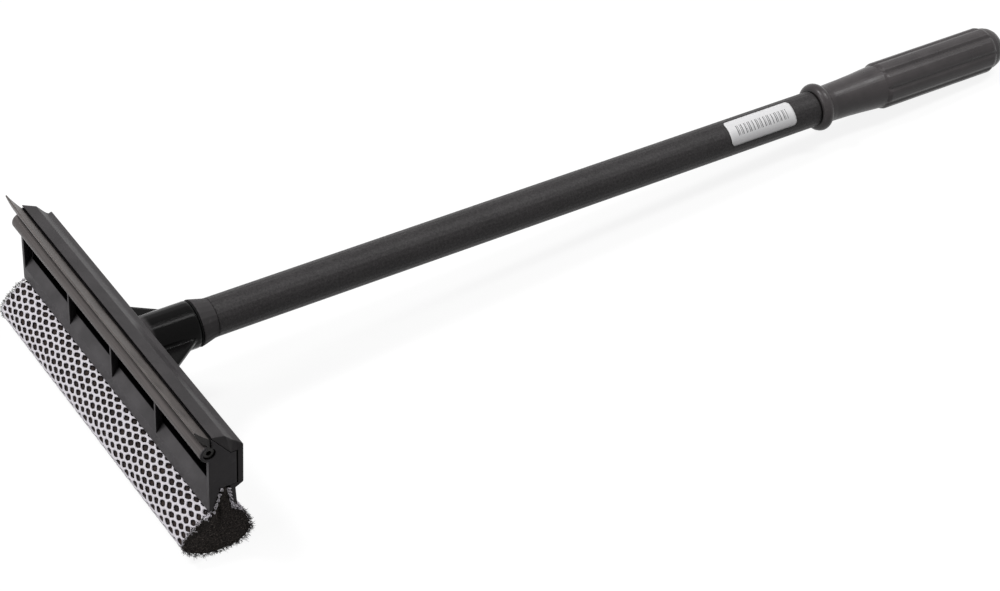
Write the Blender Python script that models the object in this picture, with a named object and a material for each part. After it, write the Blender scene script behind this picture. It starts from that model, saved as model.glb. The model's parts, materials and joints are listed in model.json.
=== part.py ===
"""Windshield squeegee: a rubber wiping blade and a net-covered sponge on one head, with a long handle.

Every piece is drawn straight, with X along the shaft towards the grip, Y along the head and Z up.
The shaft's axis is Z = 0 and the back face of the head is X = 0. One empty then carries all pieces
and lays the tool down as it rests on a table, on the sponge and on the end of the grip, with the
world's origin in the middle of the sole.
"""
import math

import bmesh
import bpy
from mathutils import Matrix, Vector

# Sizes, in metres

# What several pieces share
HEAD_LENGTH = 0.203
FIT = 0.0003
OVERRUN = 0.002
MERGE = 0.000001

# Cover: the rear shell of the head, with its roof, back wall, lip and rear jaw
WALL_RISE = 0.0125
WALL_DROP = 0.0115
WALL = 0.0028
ROOF_REACH = 0.0162
ROOF_RISE = 0.0101
ROOF_EDGE = 0.0007
CREST_REACH = 0.0091
CREST_RISE = 0.0075
FOOT_REACH = 0.0040
FOOT_RISE = 0.0019
LIP_REACH = 0.0042
LIP_DROP = 0.0021
SKIRT_LENGTH = 0.0106
SKIRT_LEAN = 0.0008
SKIRT_TIP = 0.0017
LEDGE_REACH = 0.0064
LEDGE_DROP = 0.0030
CREST_ROUND = 0.0018
FOOT_ROUND = 0.0060
CORNER_ROUND = 0.0011
CREST_INSET = 0.0010
FOOT_INSET = 0.0020

# Socket and gussets on the back of the cover
SOCKET_RADIUS = 0.0124
SOCKET_LENGTH = 0.0263
SOCKET_WALL = 0.0031
SOCKET_FLOOR = 0.0020
SOCKET_CHAMFER = 0.0005
GUSSET = 0.0026
GUSSET_SPREAD = 0.0296
GUSSET_SETBACK = 0.0034

# Core: the front moulding, with the blade's channel, the ribs and the front jaw
FRONT_REACH = 0.0180
BACK_GAP = 0.0008
APEX_DROP = 0.0007
FLOOR = 0.0020
NECK_FRONT = 0.0129
NECK_DROP = 0.0016
NECK_REAR = 0.0072
JAW_DROP = 0.0131
JAW_TIP = 0.0014
SHELF_REACH = 0.0136
SHELF_FLOOR = 0.0010
SHELF_DROP = 0.0062
WEB = 0.0022
SLOPE_WALL = 0.0018
END_WALL = 0.0024
RIB = 0.0016
RIB_PITCH = 0.0470
CHANNEL_REACH = 0.0176
CHANNEL_RISE = 0.0133
CHANNEL_WALL = 0.0015

# Screws that hold the core in the cover
SCREW_NEAR = 0.0380
SCREW_FAR = 0.0820
SCREW_RADIUS = 0.0015
SCREW_LENGTH = 0.0090
SCREW_POINT = 0.0020
SCREW_HEAD_RADIUS = 0.0032
SCREW_HEAD = 0.0010
SCREW_RECESS = 0.0014
SCREW_BOSS = 0.0084

# Blade: the bead that runs in the channel and the fin that wipes the glass
BEAD_RADIUS = 0.0030
BEAD_BORE = 0.0014
FIN_ROOT = 0.0018
FIN_SHOULDER_REACH = 0.0024
FIN_SHOULDER_RISE = 0.0056
FIN_NECK_RISE = 0.0050
FIN_BACK_RISE = 0.0079
FIN_TIP_REACH = 0.0070
FIN_TIP_RISE = 0.0156
FIN_TIP = 0.0007
FIN_BEND = 0.0006
FIN_CURL = 0.0036
BLADE_INSET = 0.0009

# Sponge and the net round it
SPONGE_FRONT = 0.0333
SPONGE_REAR = 0.0052
SOLE_DEPTH = 0.0518
SOLE_REACH = 0.0080
SOLE_CUT = 0.0005
NET = 0.0008
NET_STRAND = 0.0016
NET_COLUMNS = 22
NET_ROWS = 16
SPONGE_END_ROUND = 0.0015

# Handle: the screwed tip with its collar, the washer, the tube and the grip
THREAD_RADIUS = SOCKET_RADIUS - SOCKET_WALL - FIT
NOSE_ROOM = 0.0035
TIP_CHAMFER = 0.0012
TIP_WALL = 0.0028
WASHER = 0.0006
WASHER_INSET = 0.0002
COLLAR_LENGTH = 0.0092
COLLAR_LAND = 0.0007
COLLAR_END = 0.0001
PLUG_LENGTH = 0.0220
PLUG_WALL = 0.0022
TUBE_RADIUS = 0.0103
TUBE_WALL = 0.0008
TUBE_LENGTH = 0.3870
RING_RADIUS = 0.01385
RING_ROUND = 0.0038
NECK_LENGTH = 0.0400
NECK_RADIUS = 0.0107
GRIP_RADIUS = 0.0126
FLUTE_COUNT = 8
FLUTE_RISE = 0.0012
FLUTE_LENGTH = 0.0845
FLUTE_RUN = 0.0024
GRIP_CAP = 0.0040
DOME_LENGTH = 0.0095
DOME_FLAT = 0.0050

# Shares and counts, chosen by hand

# The sponge's outline from the front jaw to the rear jaw: shares of its width and of its depth
LOBE_OUTLINE_SHARES = (
    (0.356, 0.020), (0.250, 0.115), (0.112, 0.290), (0.030, 0.455), (0.000, 0.600),
    (0.070, 0.752), (0.280, 0.925), (0.490, 1.000), (0.690, 1.000), (0.880, 0.915),
    (0.985, 0.770), (0.995, 0.640), (0.950, 0.400), (0.860, 0.170), (0.790, 0.060),
)
# Height of a flute across its width, from one groove to the next
FLUTE_HEIGHT_SHARES = (0.00, 0.80, 1.00, 1.00, 1.00, 0.80)
# Where the grip's neck is drawn along its length, and how far it has swelled there
NECK_PLACE_SHARES = (0.10, 0.40, 0.65, 0.85)
NECK_SWELL_SHARES = (0.00, 0.20, 0.48, 0.80)
# The corners of one six-sided gap in the net: shares of its half width, and rows above its middle
GAP_CORNER_SHARES = ((1.0, 0), (0.5, 1), (-0.5, 1), (-1.0, 0), (-0.5, -1), (0.5, -1))
GAP_STEP_SHARE = 1.5
# Where the blade's cross-sections stand along the head, and how much each one curls
BLADE_STATION_SHARES = (-0.50, 0.00, 0.20, 0.32, 0.42, 0.50)
BLADE_CURL_SHARES = (0.00, 0.00, 0.08, 0.30, 0.62, 1.00)
ROUND_STEPS = 24
SMALL_STEPS = 12
ARC_STEPS = 3
FIN_STEPS = 5
CURVE_STEPS = 12
SMOOTH_ANGLE = math.radians(35)

# Colours, roughness and metallic value of each finish
FINISHES = {
    "cover_plastic": ((0.030, 0.030, 0.032, 1), 0.34, 0.0),
    "core_plastic": ((0.028, 0.028, 0.030, 1), 0.42, 0.0),
    "blade_rubber": ((0.050, 0.046, 0.043, 1), 0.50, 0.0),
    "sponge_foam": ((0.022, 0.021, 0.020, 1), 0.95, 0.0),
    "net_yarn": ((0.800, 0.800, 0.820, 1), 0.80, 0.0),
    "screw_steel": ((0.450, 0.450, 0.440, 1), 0.35, 1.0),
    "washer_rubber": ((0.012, 0.012, 0.012, 1), 0.60, 0.0),
    "collar_plastic": ((0.045, 0.045, 0.047, 1), 0.50, 0.0),
    "tube_paint": ((0.020, 0.020, 0.021, 1), 0.45, 0.0),
    "grip_plastic": ((0.026, 0.025, 0.026, 1), 0.40, 0.0),
}

# Places worked out from the sizes

SKIRT_LOW = -WALL_DROP - LIP_DROP - SKIRT_LENGTH
LEDGE_Z = WALL_RISE - LEDGE_DROP
FLOOR_Z = -WALL_DROP + FIT + FIT
UNDERSIDE_Z = FLOOR_Z + FIT
JAW_LOW = UNDERSIDE_Z - JAW_DROP
CHANNEL_RADIUS = BEAD_RADIUS + FIT + CHANNEL_WALL
CHANNEL = Vector((-CHANNEL_REACH, CHANNEL_RISE))
PLUG_RADIUS = TUBE_RADIUS - TUBE_WALL - FIT
PLUG_BORE = PLUG_RADIUS - PLUG_WALL
SCREW_PLACES = (-SCREW_FAR, -SCREW_NEAR, SCREW_NEAR, SCREW_FAR)
RIB_PLACES = (-RIB_PITCH, 0, RIB_PITCH)
SLIT = FIN_ROOT / 2 + FIT
COLLAR_START = SOCKET_LENGTH + FIT + WASHER + FIT
TUBE_START = COLLAR_START + COLLAR_LENGTH + FIT
TUBE_END = TUBE_START + TUBE_LENGTH
GRIP_START = TUBE_END + FIT
NECK_START = GRIP_START + 2 * RING_ROUND
FLUTE_START = NECK_START + NECK_LENGTH
FLUTE_END = FLUTE_START + FLUTE_LENGTH
GRIP_END = FLUTE_END + DOME_LENGTH


def clear_scene():
    """Empty the scene, so that it holds this tool and nothing else."""
    for thing in list(bpy.data.objects):
        bpy.data.objects.remove(thing, do_unlink=True)


def finish(name):
    """The named finish as a Principled material, made once."""
    material = bpy.data.materials.get(name)
    if material is None:
        colour, roughness, metallic = FINISHES[name]
        material = bpy.data.materials.new(name)
        material.use_nodes = True
        shader = material.node_tree.nodes["Principled BSDF"]
        shader.inputs["Base Color"].default_value = colour
        shader.inputs["Roughness"].default_value = roughness
        shader.inputs["Metallic"].default_value = metallic
        material.diffuse_color = colour
    return material


def add_object(name, shape, finish_name, parent):
    """Turn a bmesh into a named object with a finish, smooth where it is round."""
    bmesh.ops.recalc_face_normals(shape, faces=shape.faces[:])
    mesh = bpy.data.meshes.new(name)
    shape.to_mesh(mesh)
    shape.free()
    mesh.materials.append(finish(finish_name))
    mesh.shade_smooth()
    mesh.set_sharp_from_angle(angle=SMOOTH_ANGLE)
    thing = bpy.data.objects.new(name, mesh)
    bpy.context.collection.objects.link(thing)
    thing.parent = parent
    return thing


def combine(target, tool, operation):
    """Join a tool to a piece or cut it out of it, and keep the tool as a hidden guide."""
    tool.hide_render = True
    tool.display_type = "WIRE"
    modifier = target.modifiers.new(tool.name, "BOOLEAN")
    modifier.operation = operation
    modifier.solver = "EXACT"
    modifier.object = tool


def arc(centre, radius, start, end, steps):
    """Points on an arc in the X-Z plane, from one angle to another, both ends included."""
    points = []
    for step in range(steps + 1):
        angle = start + (end - start) * step / steps
        points.append(centre + Vector((math.cos(angle), math.sin(angle))) * radius)
    return points


def rounded_corner(before, corner, after, radius):
    """The arc that rounds a corner between its two neighbours."""
    inward = (before - corner).normalized()
    outward = (after - corner).normalized()
    half = inward.angle(outward) / 2
    setback = radius / math.tan(half)
    first = corner + inward * setback
    last = corner + outward * setback
    centre = corner + (inward + outward).normalized() * (radius / math.sin(half))
    start_spoke = (first - centre).normalized()
    end_spoke = (last - centre).normalized()
    points = []
    for step in range(ARC_STEPS + 1):
        points.append(centre + start_spoke.slerp(end_spoke, step / ARC_STEPS) * radius)
    return points


def meet(point_a, along_a, point_b, along_b):
    """Where two lines in the X-Z plane cross."""
    across = along_a.x * along_b.y - along_a.y * along_b.x
    gap = point_b - point_a
    distance = (gap.x * along_b.y - gap.y * along_b.x) / across
    return point_a + along_a * distance


def offset_outline(points, distance):
    """Move an open outline to its right-hand side, with mitred corners."""
    moved = []
    for index, point in enumerate(points):
        sides = []
        if index > 0:
            sides.append((point - points[index - 1]).normalized())
        if index < len(points) - 1:
            sides.append((points[index + 1] - point).normalized())
        normals = [Vector((side.y, -side.x)) for side in sides]
        middle = sum(normals, Vector((0, 0))).normalized()
        moved.append(point + middle * (distance / middle.dot(normals[0])))
    return moved


def extruded(outline, length, insets=None):
    """Extrude a closed X-Z outline along Y, centred, with each corner set in from both ends."""
    if insets is None:
        insets = [0] * len(outline)
    shape = bmesh.new()
    rings = []
    for side in (-1, 1):
        ring = []
        for point, inset in zip(outline, insets):
            ring.append(shape.verts.new((point.x, side * (length / 2 - inset), point.y)))
        rings.append(ring)
        shape.faces.new(ring)
    near, far = rings
    for index in range(len(outline)):
        following = (index + 1) % len(outline)
        shape.faces.new((near[index], near[following], far[following], far[index]))
    bmesh.ops.recalc_face_normals(shape, faces=shape.faces[:])
    bmesh.ops.triangulate(shape, faces=[face for face in shape.faces if len(face.verts) > 4])
    return shape


def turned(profile, steps):
    """Turn a closed profile of (X, radius) points about the shaft's axis."""
    shape = bmesh.new()
    corners = [shape.verts.new((along, 0, radius)) for along, radius in profile]
    edges = []
    for index in range(len(corners)):
        first = corners[index]
        second = corners[(index + 1) % len(corners)]
        on_axis = profile[index][1] == 0 and profile[(index + 1) % len(profile)][1] == 0
        if not on_axis:
            edges.append(shape.edges.new((first, second)))
    bmesh.ops.spin(
        shape, geom=edges, cent=(0, 0, 0), axis=(1, 0, 0), angle=math.tau, steps=steps, use_merge=True
    )
    bmesh.ops.remove_doubles(shape, verts=shape.verts[:], dist=MERGE)
    return shape


def merged(shapes):
    """Put separate shapes into one bmesh."""
    together = bmesh.new()
    for shape in shapes:
        mesh = bpy.data.meshes.new("piece")
        shape.to_mesh(mesh)
        shape.free()
        together.from_mesh(mesh)
        bpy.data.meshes.remove(mesh)
    return together


def moved(shape, x=0, y=0, z=0):
    """Shift a shape."""
    bmesh.ops.translate(shape, verts=shape.verts[:], vec=(x, y, z))
    return shape


def smooth_curve(points, steps):
    """A curve through the points, closely sampled."""
    curve = []
    last = len(points) - 1
    for index in range(last):
        before = points[max(index - 1, 0)]
        start = points[index]
        end = points[index + 1]
        after = points[min(index + 2, last)]
        for step in range(steps):
            share = step / steps
            square = share * share
            cube = square * share
            pull_before = (2 * square - cube - share) / 2
            pull_start = (3 * cube - 5 * square + 2) / 2
            pull_end = (4 * square - 3 * cube + share) / 2
            pull_after = (cube - square) / 2
            curve.append(before * pull_before + start * pull_start + end * pull_end + after * pull_after)
    curve.append(points[last])
    return curve


def evenly_sampled(curve, count):
    """Points at equal distances along a closely sampled curve."""
    lengths = [0]
    for index in range(1, len(curve)):
        lengths.append(lengths[-1] + (curve[index] - curve[index - 1]).length)
    samples = []
    index = 0
    for step in range(count + 1):
        wanted = lengths[-1] * step / count
        while index < len(curve) - 2 and lengths[index + 1] < wanted:
            index += 1
        share = (wanted - lengths[index]) / (lengths[index + 1] - lengths[index])
        samples.append(curve[index].lerp(curve[index + 1], share))
    return samples


def slope_line():
    """The sloping joint face between the cover and the core: its top, its foot and its direction."""
    top = Vector((-ROOF_REACH, WALL_RISE + ROOF_RISE - ROOF_EDGE))
    foot = Vector((-LEDGE_REACH, LEDGE_Z))
    return top, foot, (foot - top).normalized()


def grip_profile():
    """The grip's outline, as (X, radius at a groove) points from the ring to the end."""
    ring_centre = Vector((GRIP_START + RING_ROUND, RING_RADIUS - RING_ROUND))
    points = []
    for point in arc(ring_centre, RING_ROUND, math.pi, 0, SMALL_STEPS):
        if point.x < ring_centre.x or point.y > NECK_RADIUS:
            points.append(point)
    for place_share, swell_share in zip(NECK_PLACE_SHARES, NECK_SWELL_SHARES):
        radius = NECK_RADIUS + (GRIP_RADIUS - NECK_RADIUS) * swell_share
        points.append(Vector((NECK_START + NECK_LENGTH * place_share, radius)))
    points.append(Vector((FLUTE_START, GRIP_RADIUS)))
    points.append(Vector((FLUTE_START + FLUTE_RUN / 2, GRIP_RADIUS)))
    points.append(Vector((FLUTE_START + FLUTE_RUN, GRIP_RADIUS)))
    points.append(Vector((FLUTE_END - FLUTE_RUN, GRIP_RADIUS)))
    points.append(Vector((FLUTE_END - FLUTE_RUN / 2, GRIP_RADIUS)))
    points.append(Vector((FLUTE_END, GRIP_RADIUS)))
    steps = SMALL_STEPS // 2
    for index in range(1, steps + 1):
        angle = math.pi / 2 * index / steps
        radius = DOME_FLAT + (GRIP_RADIUS - DOME_FLAT) * math.cos(angle)
        points.append(Vector((FLUTE_END + DOME_LENGTH * math.sin(angle), radius)))
    return points


def flute_share(along):
    """How far the flutes have risen at a place along the grip: 0 off the body, 1 in its middle."""
    rise = (along - FLUTE_START) / FLUTE_RUN
    fall = (FLUTE_END - along) / FLUTE_RUN
    nearest = min(1, max(0, min(rise, fall)))
    return math.sin(nearest * math.pi / 2)


def rest_slope():
    """How fast the table rises towards the grip, seen along the shaft, when the tool lies on it."""
    slopes = []
    for point in grip_profile():
        radius = point.y + FLUTE_RISE * flute_share(point.x)
        slopes.append((SOLE_DEPTH - radius) / (point.x + SOLE_REACH))
    return min(slopes)


def lobe_curve():
    """The net's outer outline from jaw to jaw, cut flat where the tool stands on it."""
    width = SPONGE_FRONT + SPONGE_REAR
    depth = SOLE_DEPTH + SOLE_CUT + SKIRT_LOW
    front_start, rear_start = jaw_exits()
    points = [front_start]
    for across_share, down_share in LOBE_OUTLINE_SHARES:
        points.append(Vector((width * across_share - SPONGE_FRONT, SKIRT_LOW - depth * down_share)))
    points.append(rear_start)
    slope = rest_slope()
    flattened = []
    for point in smooth_curve(points, CURVE_STEPS):
        table = (point.x + SOLE_REACH) * slope - SOLE_DEPTH
        flattened.append(Vector((point.x, max(point.y, table))))
    return flattened


def jaw_lines():
    """The inner faces of the front and rear jaws, each from its top to its tip."""
    front_top = Vector((-NECK_FRONT, UNDERSIDE_Z - NECK_DROP))
    front_tip = Vector((-FRONT_REACH + JAW_TIP, JAW_LOW))
    rear_top = Vector((-NECK_REAR, FLOOR_Z))
    rear_tip = Vector((-LIP_REACH + SKIRT_LEAN - SKIRT_TIP, SKIRT_LOW))
    return front_top, front_tip, rear_top, rear_tip


def jaw_exits():
    """Where the net leaves the jaws: just inside each jaw's tip."""
    _, front_tip, _, rear_tip = jaw_lines()
    return front_tip + Vector((FIT, -FIT)), rear_tip + Vector((-FIT, -FIT))


def wrap_outline():
    """The net's outer outline, from the top of the neck, round the lobes and up the other side."""
    front_top, front_tip, rear_top, rear_tip = jaw_lines()
    stations = evenly_sampled(lobe_curve(), NET_ROWS)
    hem = Vector((0, UNDERSIDE_Z - FIT))
    level = Vector((1, 0))
    front_hem = meet(stations[0], front_tip - front_top, hem, level)
    rear_hem = meet(stations[-1], rear_tip - rear_top, hem, level)
    return [front_hem] + stations + [rear_hem]


def sole_point():
    """The point of the net nearest the middle of the sole where a strand crosses the head's middle."""
    rows = wrap_outline()[1:-1]
    crossing = rows[(NET_COLUMNS // 2) % 2 :: 2]
    return min(crossing, key=lambda point: abs(point.x + SOLE_REACH))


def make_cover(parent):
    """The rear shell: roof, back wall, lip and rear jaw, with the socket, gussets and screw holes."""
    slope_top, slope_foot, _ = slope_line()
    wall_top = Vector((0, WALL_RISE))
    wall_low = Vector((0, -WALL_DROP))
    foot = Vector((-FOOT_REACH, WALL_RISE + FOOT_RISE))
    crest = Vector((-CREST_REACH, WALL_RISE + CREST_RISE))
    roof_edge = Vector((-ROOF_REACH, WALL_RISE + ROOF_RISE))
    lip = Vector((-LIP_REACH, -WALL_DROP - LIP_DROP))
    skirt_outer = Vector((-LIP_REACH + SKIRT_LEAN, SKIRT_LOW))
    skirt_inner = Vector((-LIP_REACH + SKIRT_LEAN - SKIRT_TIP, SKIRT_LOW))
    neck_rear = Vector((-NECK_REAR, FLOOR_Z))
    inner_low = Vector((-WALL, FLOOR_Z))
    inner_top = Vector((-WALL, LEDGE_Z))
    outline = [roof_edge]
    insets = [0]
    for before, corner, after, radius, inset in (
        (roof_edge, crest, foot, CREST_ROUND, CREST_INSET),
        (crest, foot, wall_top, FOOT_ROUND, FOOT_INSET),
        (foot, wall_top, wall_low, CORNER_ROUND, 0),
        (wall_top, wall_low, lip, CORNER_ROUND, 0),
    ):
        points = rounded_corner(before, corner, after, radius)
        outline.extend(points)
        insets.extend([inset] * len(points))
    inner = [lip, skirt_outer, skirt_inner, neck_rear, inner_low, inner_top, slope_foot, slope_top]
    outline.extend(inner)
    insets.extend([0] * len(inner))
    cover = add_object("cover", extruded(outline, HEAD_LENGTH, insets), "cover_plastic", parent)

    bore = SOCKET_RADIUS - SOCKET_WALL
    root = -WALL / 2
    socket = turned(
        (
            (root, 0),
            (root, SOCKET_RADIUS),
            (SOCKET_LENGTH - SOCKET_CHAMFER, SOCKET_RADIUS),
            (SOCKET_LENGTH, SOCKET_RADIUS - SOCKET_CHAMFER),
            (SOCKET_LENGTH, bore),
            (SOCKET_FLOOR, bore),
            (SOCKET_FLOOR, 0),
        ),
        ROUND_STEPS,
    )
    combine(cover, add_object("socket_guide", socket, "cover_plastic", parent), "UNION")

    inside = SOCKET_RADIUS - SOCKET_WALL / 2
    gusset_end = SOCKET_LENGTH - GUSSET_SETBACK
    for name, side in (("gusset_guide_near", -1), ("gusset_guide_far", 1)):
        corners = (
            (root, side * inside),
            (root, side * GUSSET_SPREAD),
            (0, side * GUSSET_SPREAD),
            (gusset_end, side * SOCKET_RADIUS),
            (gusset_end, side * inside),
        )
        gusset = bmesh.new()
        base = gusset.faces.new([gusset.verts.new((x, y, -GUSSET / 2)) for x, y in corners])
        grown = bmesh.ops.extrude_face_region(gusset, geom=[base])
        top = [item for item in grown["geom"] if isinstance(item, bmesh.types.BMVert)]
        bmesh.ops.translate(gusset, verts=top, vec=(0, 0, GUSSET))
        combine(cover, add_object(name, gusset, "cover_plastic", parent), "UNION")

    holes = []
    for place in SCREW_PLACES:
        hole = turned(
            (
                (-WALL - OVERRUN, 0),
                (-WALL - OVERRUN, SCREW_RADIUS + FIT),
                (-SCREW_RECESS, SCREW_RADIUS + FIT),
                (-SCREW_RECESS, SCREW_HEAD_RADIUS + FIT),
                (OVERRUN, SCREW_HEAD_RADIUS + FIT),
                (OVERRUN, 0),
            ),
            SMALL_STEPS,
        )
        holes.append(moved(hole, y=place))
    combine(cover, add_object("screw_hole_guide", merged(holes), "cover_plastic", parent), "DIFFERENCE")
    return cover


def core_outline():
    """The core's cross-section: sloping top, back, underside, front jaw and the blade's channel."""
    slope_top, _, along = slope_line()
    slope_start = slope_top + Vector((along.y, -along.x)) * FIT
    slit_front = -CHANNEL_REACH - SLIT
    slit_rear = -CHANNEL_REACH + SLIT
    upright = Vector((0, 1))
    level = Vector((1, 0))
    rear = -WALL - BACK_GAP
    apex = meet(slope_start, along, Vector((slit_rear, 0)), upright)
    wall_top = Vector((0, apex.y - APEX_DROP))
    slope_foot = meet(slope_start, along, Vector((0, LEDGE_Z - FIT)), level)
    bore = BEAD_RADIUS + FIT
    side_angle = math.asin(SLIT / bore)
    lip_angle = math.asin(SLIT / CHANNEL_RADIUS)
    front_angle = math.asin((FRONT_REACH - CHANNEL_REACH) / CHANNEL_RADIUS)
    bore_start = math.pi / 2 - side_angle
    bore_end = math.pi / 2 + side_angle - math.tau
    bore_arc = arc(CHANNEL, bore, bore_start, bore_end, SMALL_STEPS + SMALL_STEPS // 3)
    lip_start = math.pi / 2 + lip_angle
    lip_end = math.tau - math.pi / 2 - front_angle
    lobe_arc = arc(CHANNEL, CHANNEL_RADIUS, lip_start, lip_end, SMALL_STEPS)
    outline = [Vector((slit_rear, wall_top.y)), meet(slope_start, along, wall_top, level)]
    outline.extend((slope_foot, Vector((rear, LEDGE_Z - FIT)), Vector((rear, UNDERSIDE_Z))))
    outline.append(Vector((-NECK_FRONT, UNDERSIDE_Z)))
    outline.append(Vector((-NECK_FRONT, UNDERSIDE_Z - NECK_DROP)))
    outline.append(Vector((-FRONT_REACH + JAW_TIP, JAW_LOW)))
    outline.append(Vector((-FRONT_REACH, JAW_LOW)))
    outline.extend(reversed(lobe_arc))
    outline.extend(reversed(bore_arc))
    return outline


def make_core(parent):
    """The front moulding: a channelled bar with open pockets between its ribs and bosses."""
    core = add_object("core", extruded(core_outline(), HEAD_LENGTH), "core_plastic", parent)
    pocket_top = CHANNEL_RISE - CHANNEL_RADIUS
    front = -CHANNEL_REACH - CHANNEL_RADIUS - OVERRUN
    shelf_z = UNDERSIDE_Z + SHELF_FLOOR
    recess = [
        Vector((-SHELF_REACH, pocket_top)),
        Vector((-SHELF_REACH, shelf_z)),
        Vector((-FRONT_REACH, shelf_z - SHELF_DROP)),
        Vector((front, shelf_z - SHELF_DROP)),
        Vector((front, pocket_top)),
    ]
    limits = [-HEAD_LENGTH / 2 + END_WALL]
    for place in RIB_PLACES:
        limits.extend((place - RIB / 2, place + RIB / 2))
    limits.append(HEAD_LENGTH / 2 - END_WALL)
    pockets = []
    for start, end in zip(limits[::2], limits[1::2]):
        pockets.append(moved(extruded(recess, end - start), y=(start + end) / 2))

    web_rear = -SHELF_REACH + WEB
    slope_top, _, along = slope_line()
    slope_inner = slope_top + Vector((along.y, -along.x)) * (FIT + SLOPE_WALL)
    behind = -WALL + OVERRUN
    ledge_low = LEDGE_Z - FIT - SLOPE_WALL
    cavity = [
        Vector((web_rear, UNDERSIDE_Z + FLOOR)),
        Vector((behind, UNDERSIDE_Z + FLOOR)),
        Vector((behind, ledge_low)),
        meet(slope_inner, along, Vector((0, ledge_low)), Vector((1, 0))),
        meet(slope_inner, along, Vector((web_rear, 0)), Vector((0, 1))),
    ]
    limits = [-HEAD_LENGTH / 2 + END_WALL, -RIB / 2, RIB / 2, HEAD_LENGTH / 2 - END_WALL]
    for place in SCREW_PLACES:
        limits.extend((place - SCREW_BOSS / 2, place + SCREW_BOSS / 2))
    limits.sort()
    for start, end in zip(limits[::2], limits[1::2]):
        pockets.append(moved(extruded(cavity, end - start), y=(start + end) / 2))
    combine(core, add_object("core_pocket_guide", merged(pockets), "core_plastic", parent), "DIFFERENCE")

    holes = []
    depth = -SCREW_RECESS - SCREW_LENGTH - FIT
    for place in SCREW_PLACES:
        radius = SCREW_RADIUS + FIT
        hole = turned(((depth, 0), (depth, radius), (0, radius), (0, 0)), SMALL_STEPS)
        holes.append(moved(hole, y=place))
    combine(core, add_object("core_hole_guide", merged(holes), "core_plastic", parent), "DIFFERENCE")
    return core


def make_screws(parent):
    """The screws from the back of the cover into the core's bosses, which share one mesh."""
    screw = turned(
        (
            (-SCREW_LENGTH, 0),
            (-SCREW_LENGTH + SCREW_POINT, SCREW_RADIUS),
            (0, SCREW_RADIUS),
            (0, SCREW_HEAD_RADIUS),
            (SCREW_HEAD / 2, SCREW_HEAD_RADIUS),
            (SCREW_HEAD, SCREW_HEAD_RADIUS / 2),
            (SCREW_HEAD, 0),
        ),
        SMALL_STEPS,
    )
    first = add_object("clamp_screw_1", screw, "screw_steel", parent)
    screws = [first]
    for number in range(2, len(SCREW_PLACES) + 1):
        copy = bpy.data.objects.new(f"clamp_screw_{number}", first.data)
        bpy.context.collection.objects.link(copy)
        copy.parent = parent
        screws.append(copy)
    for thing, place in zip(screws, SCREW_PLACES):
        thing.location = (-SCREW_RECESS + FIT, place, 0)
    return screws


def bent_edge(start, end, bend):
    """A gently bent edge between two points, bowed to its left."""
    along = (end - start).normalized()
    control = (start + end) / 2 + Vector((-along.y, along.x)) * bend
    points = []
    for step in range(FIN_STEPS + 1):
        share = step / FIN_STEPS
        points.append(start.lerp(control, share).lerp(control.lerp(end, share), share))
    return points


def blade_section(curl):
    """The blade's cross-section about its bead: bead, neck and a fin that leans to a thin lip."""
    half = FIN_ROOT / 2
    side_angle = math.asin(half / BEAD_RADIUS)
    bead_start = math.pi / 2 + side_angle
    bead_end = math.tau + math.pi / 2 - side_angle
    bead = arc(Vector((0, 0)), BEAD_RADIUS, bead_start, bead_end, SMALL_STEPS)
    tip = Vector((-FIN_TIP_REACH, FIN_TIP_RISE + curl))
    back_root = Vector((half, FIN_BACK_RISE))
    lean = (tip - back_root).normalized()
    tip_front = tip + Vector((-lean.y, lean.x)) * FIN_TIP
    back = bent_edge(back_root, tip, FIN_BEND)
    front = bent_edge(tip_front, Vector((-FIN_SHOULDER_REACH, FIN_SHOULDER_RISE)), -FIN_BEND)
    return bead + back + front + [Vector((-half, FIN_NECK_RISE))]


def lofted(rings):
    """Skin a row of closed rings of points, and close both ends."""
    shape = bmesh.new()
    corners = [[shape.verts.new(point) for point in ring] for ring in rings]
    for before, after in zip(corners, corners[1:]):
        for index in range(len(before)):
            following = (index + 1) % len(before)
            shape.faces.new((before[index], before[following], after[following], after[index]))
    shape.faces.new(corners[0])
    shape.faces.new(corners[-1])
    bmesh.ops.recalc_face_normals(shape, faces=shape.faces[:])
    bmesh.ops.triangulate(shape, faces=[face for face in shape.faces if len(face.verts) > 4])
    return shape


def make_blade(parent):
    """The wiping blade, lofted along the head, whose lip curls up towards its far end."""
    rings = []
    length = HEAD_LENGTH - 2 * BLADE_INSET
    for place_share, curl_share in zip(BLADE_STATION_SHARES, BLADE_CURL_SHARES):
        section = blade_section(FIN_CURL * curl_share)
        rings.append([(point.x, length * place_share, point.y) for point in section])
    blade = add_object("blade", lofted(rings), "blade_rubber", parent)
    blade.location = (CHANNEL.x, 0, CHANNEL.y)
    bore = extruded(arc(Vector((0, 0)), BEAD_BORE, 0, math.tau, SMALL_STEPS)[:-1], HEAD_LENGTH + OVERRUN)
    guide = add_object("bead_bore_guide", bore, "blade_rubber", parent)
    guide.location = blade.location
    combine(blade, guide, "DIFFERENCE")
    return blade


def make_sponge(parent):
    """The foam block: a neck held between the jaws and two lobes, with eased ends."""
    outline = offset_outline(wrap_outline(), -NET - FIT)
    middle = sum(outline, Vector((0, 0))) / len(outline)
    half = HEAD_LENGTH / 2
    rings = []
    for place, easing in (
        (-half, SPONGE_END_ROUND),
        (-half + SPONGE_END_ROUND, 0),
        (half - SPONGE_END_ROUND, 0),
        (half, SPONGE_END_ROUND),
    ):
        ring = []
        for point in outline:
            eased = point
            if point.y < SKIRT_LOW:
                eased = point + (middle - point).normalized() * easing
            ring.append((eased.x, place, eased.y))
        rings.append(ring)
    return add_object("sponge", lofted(rings), "sponge_foam", parent)


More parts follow.
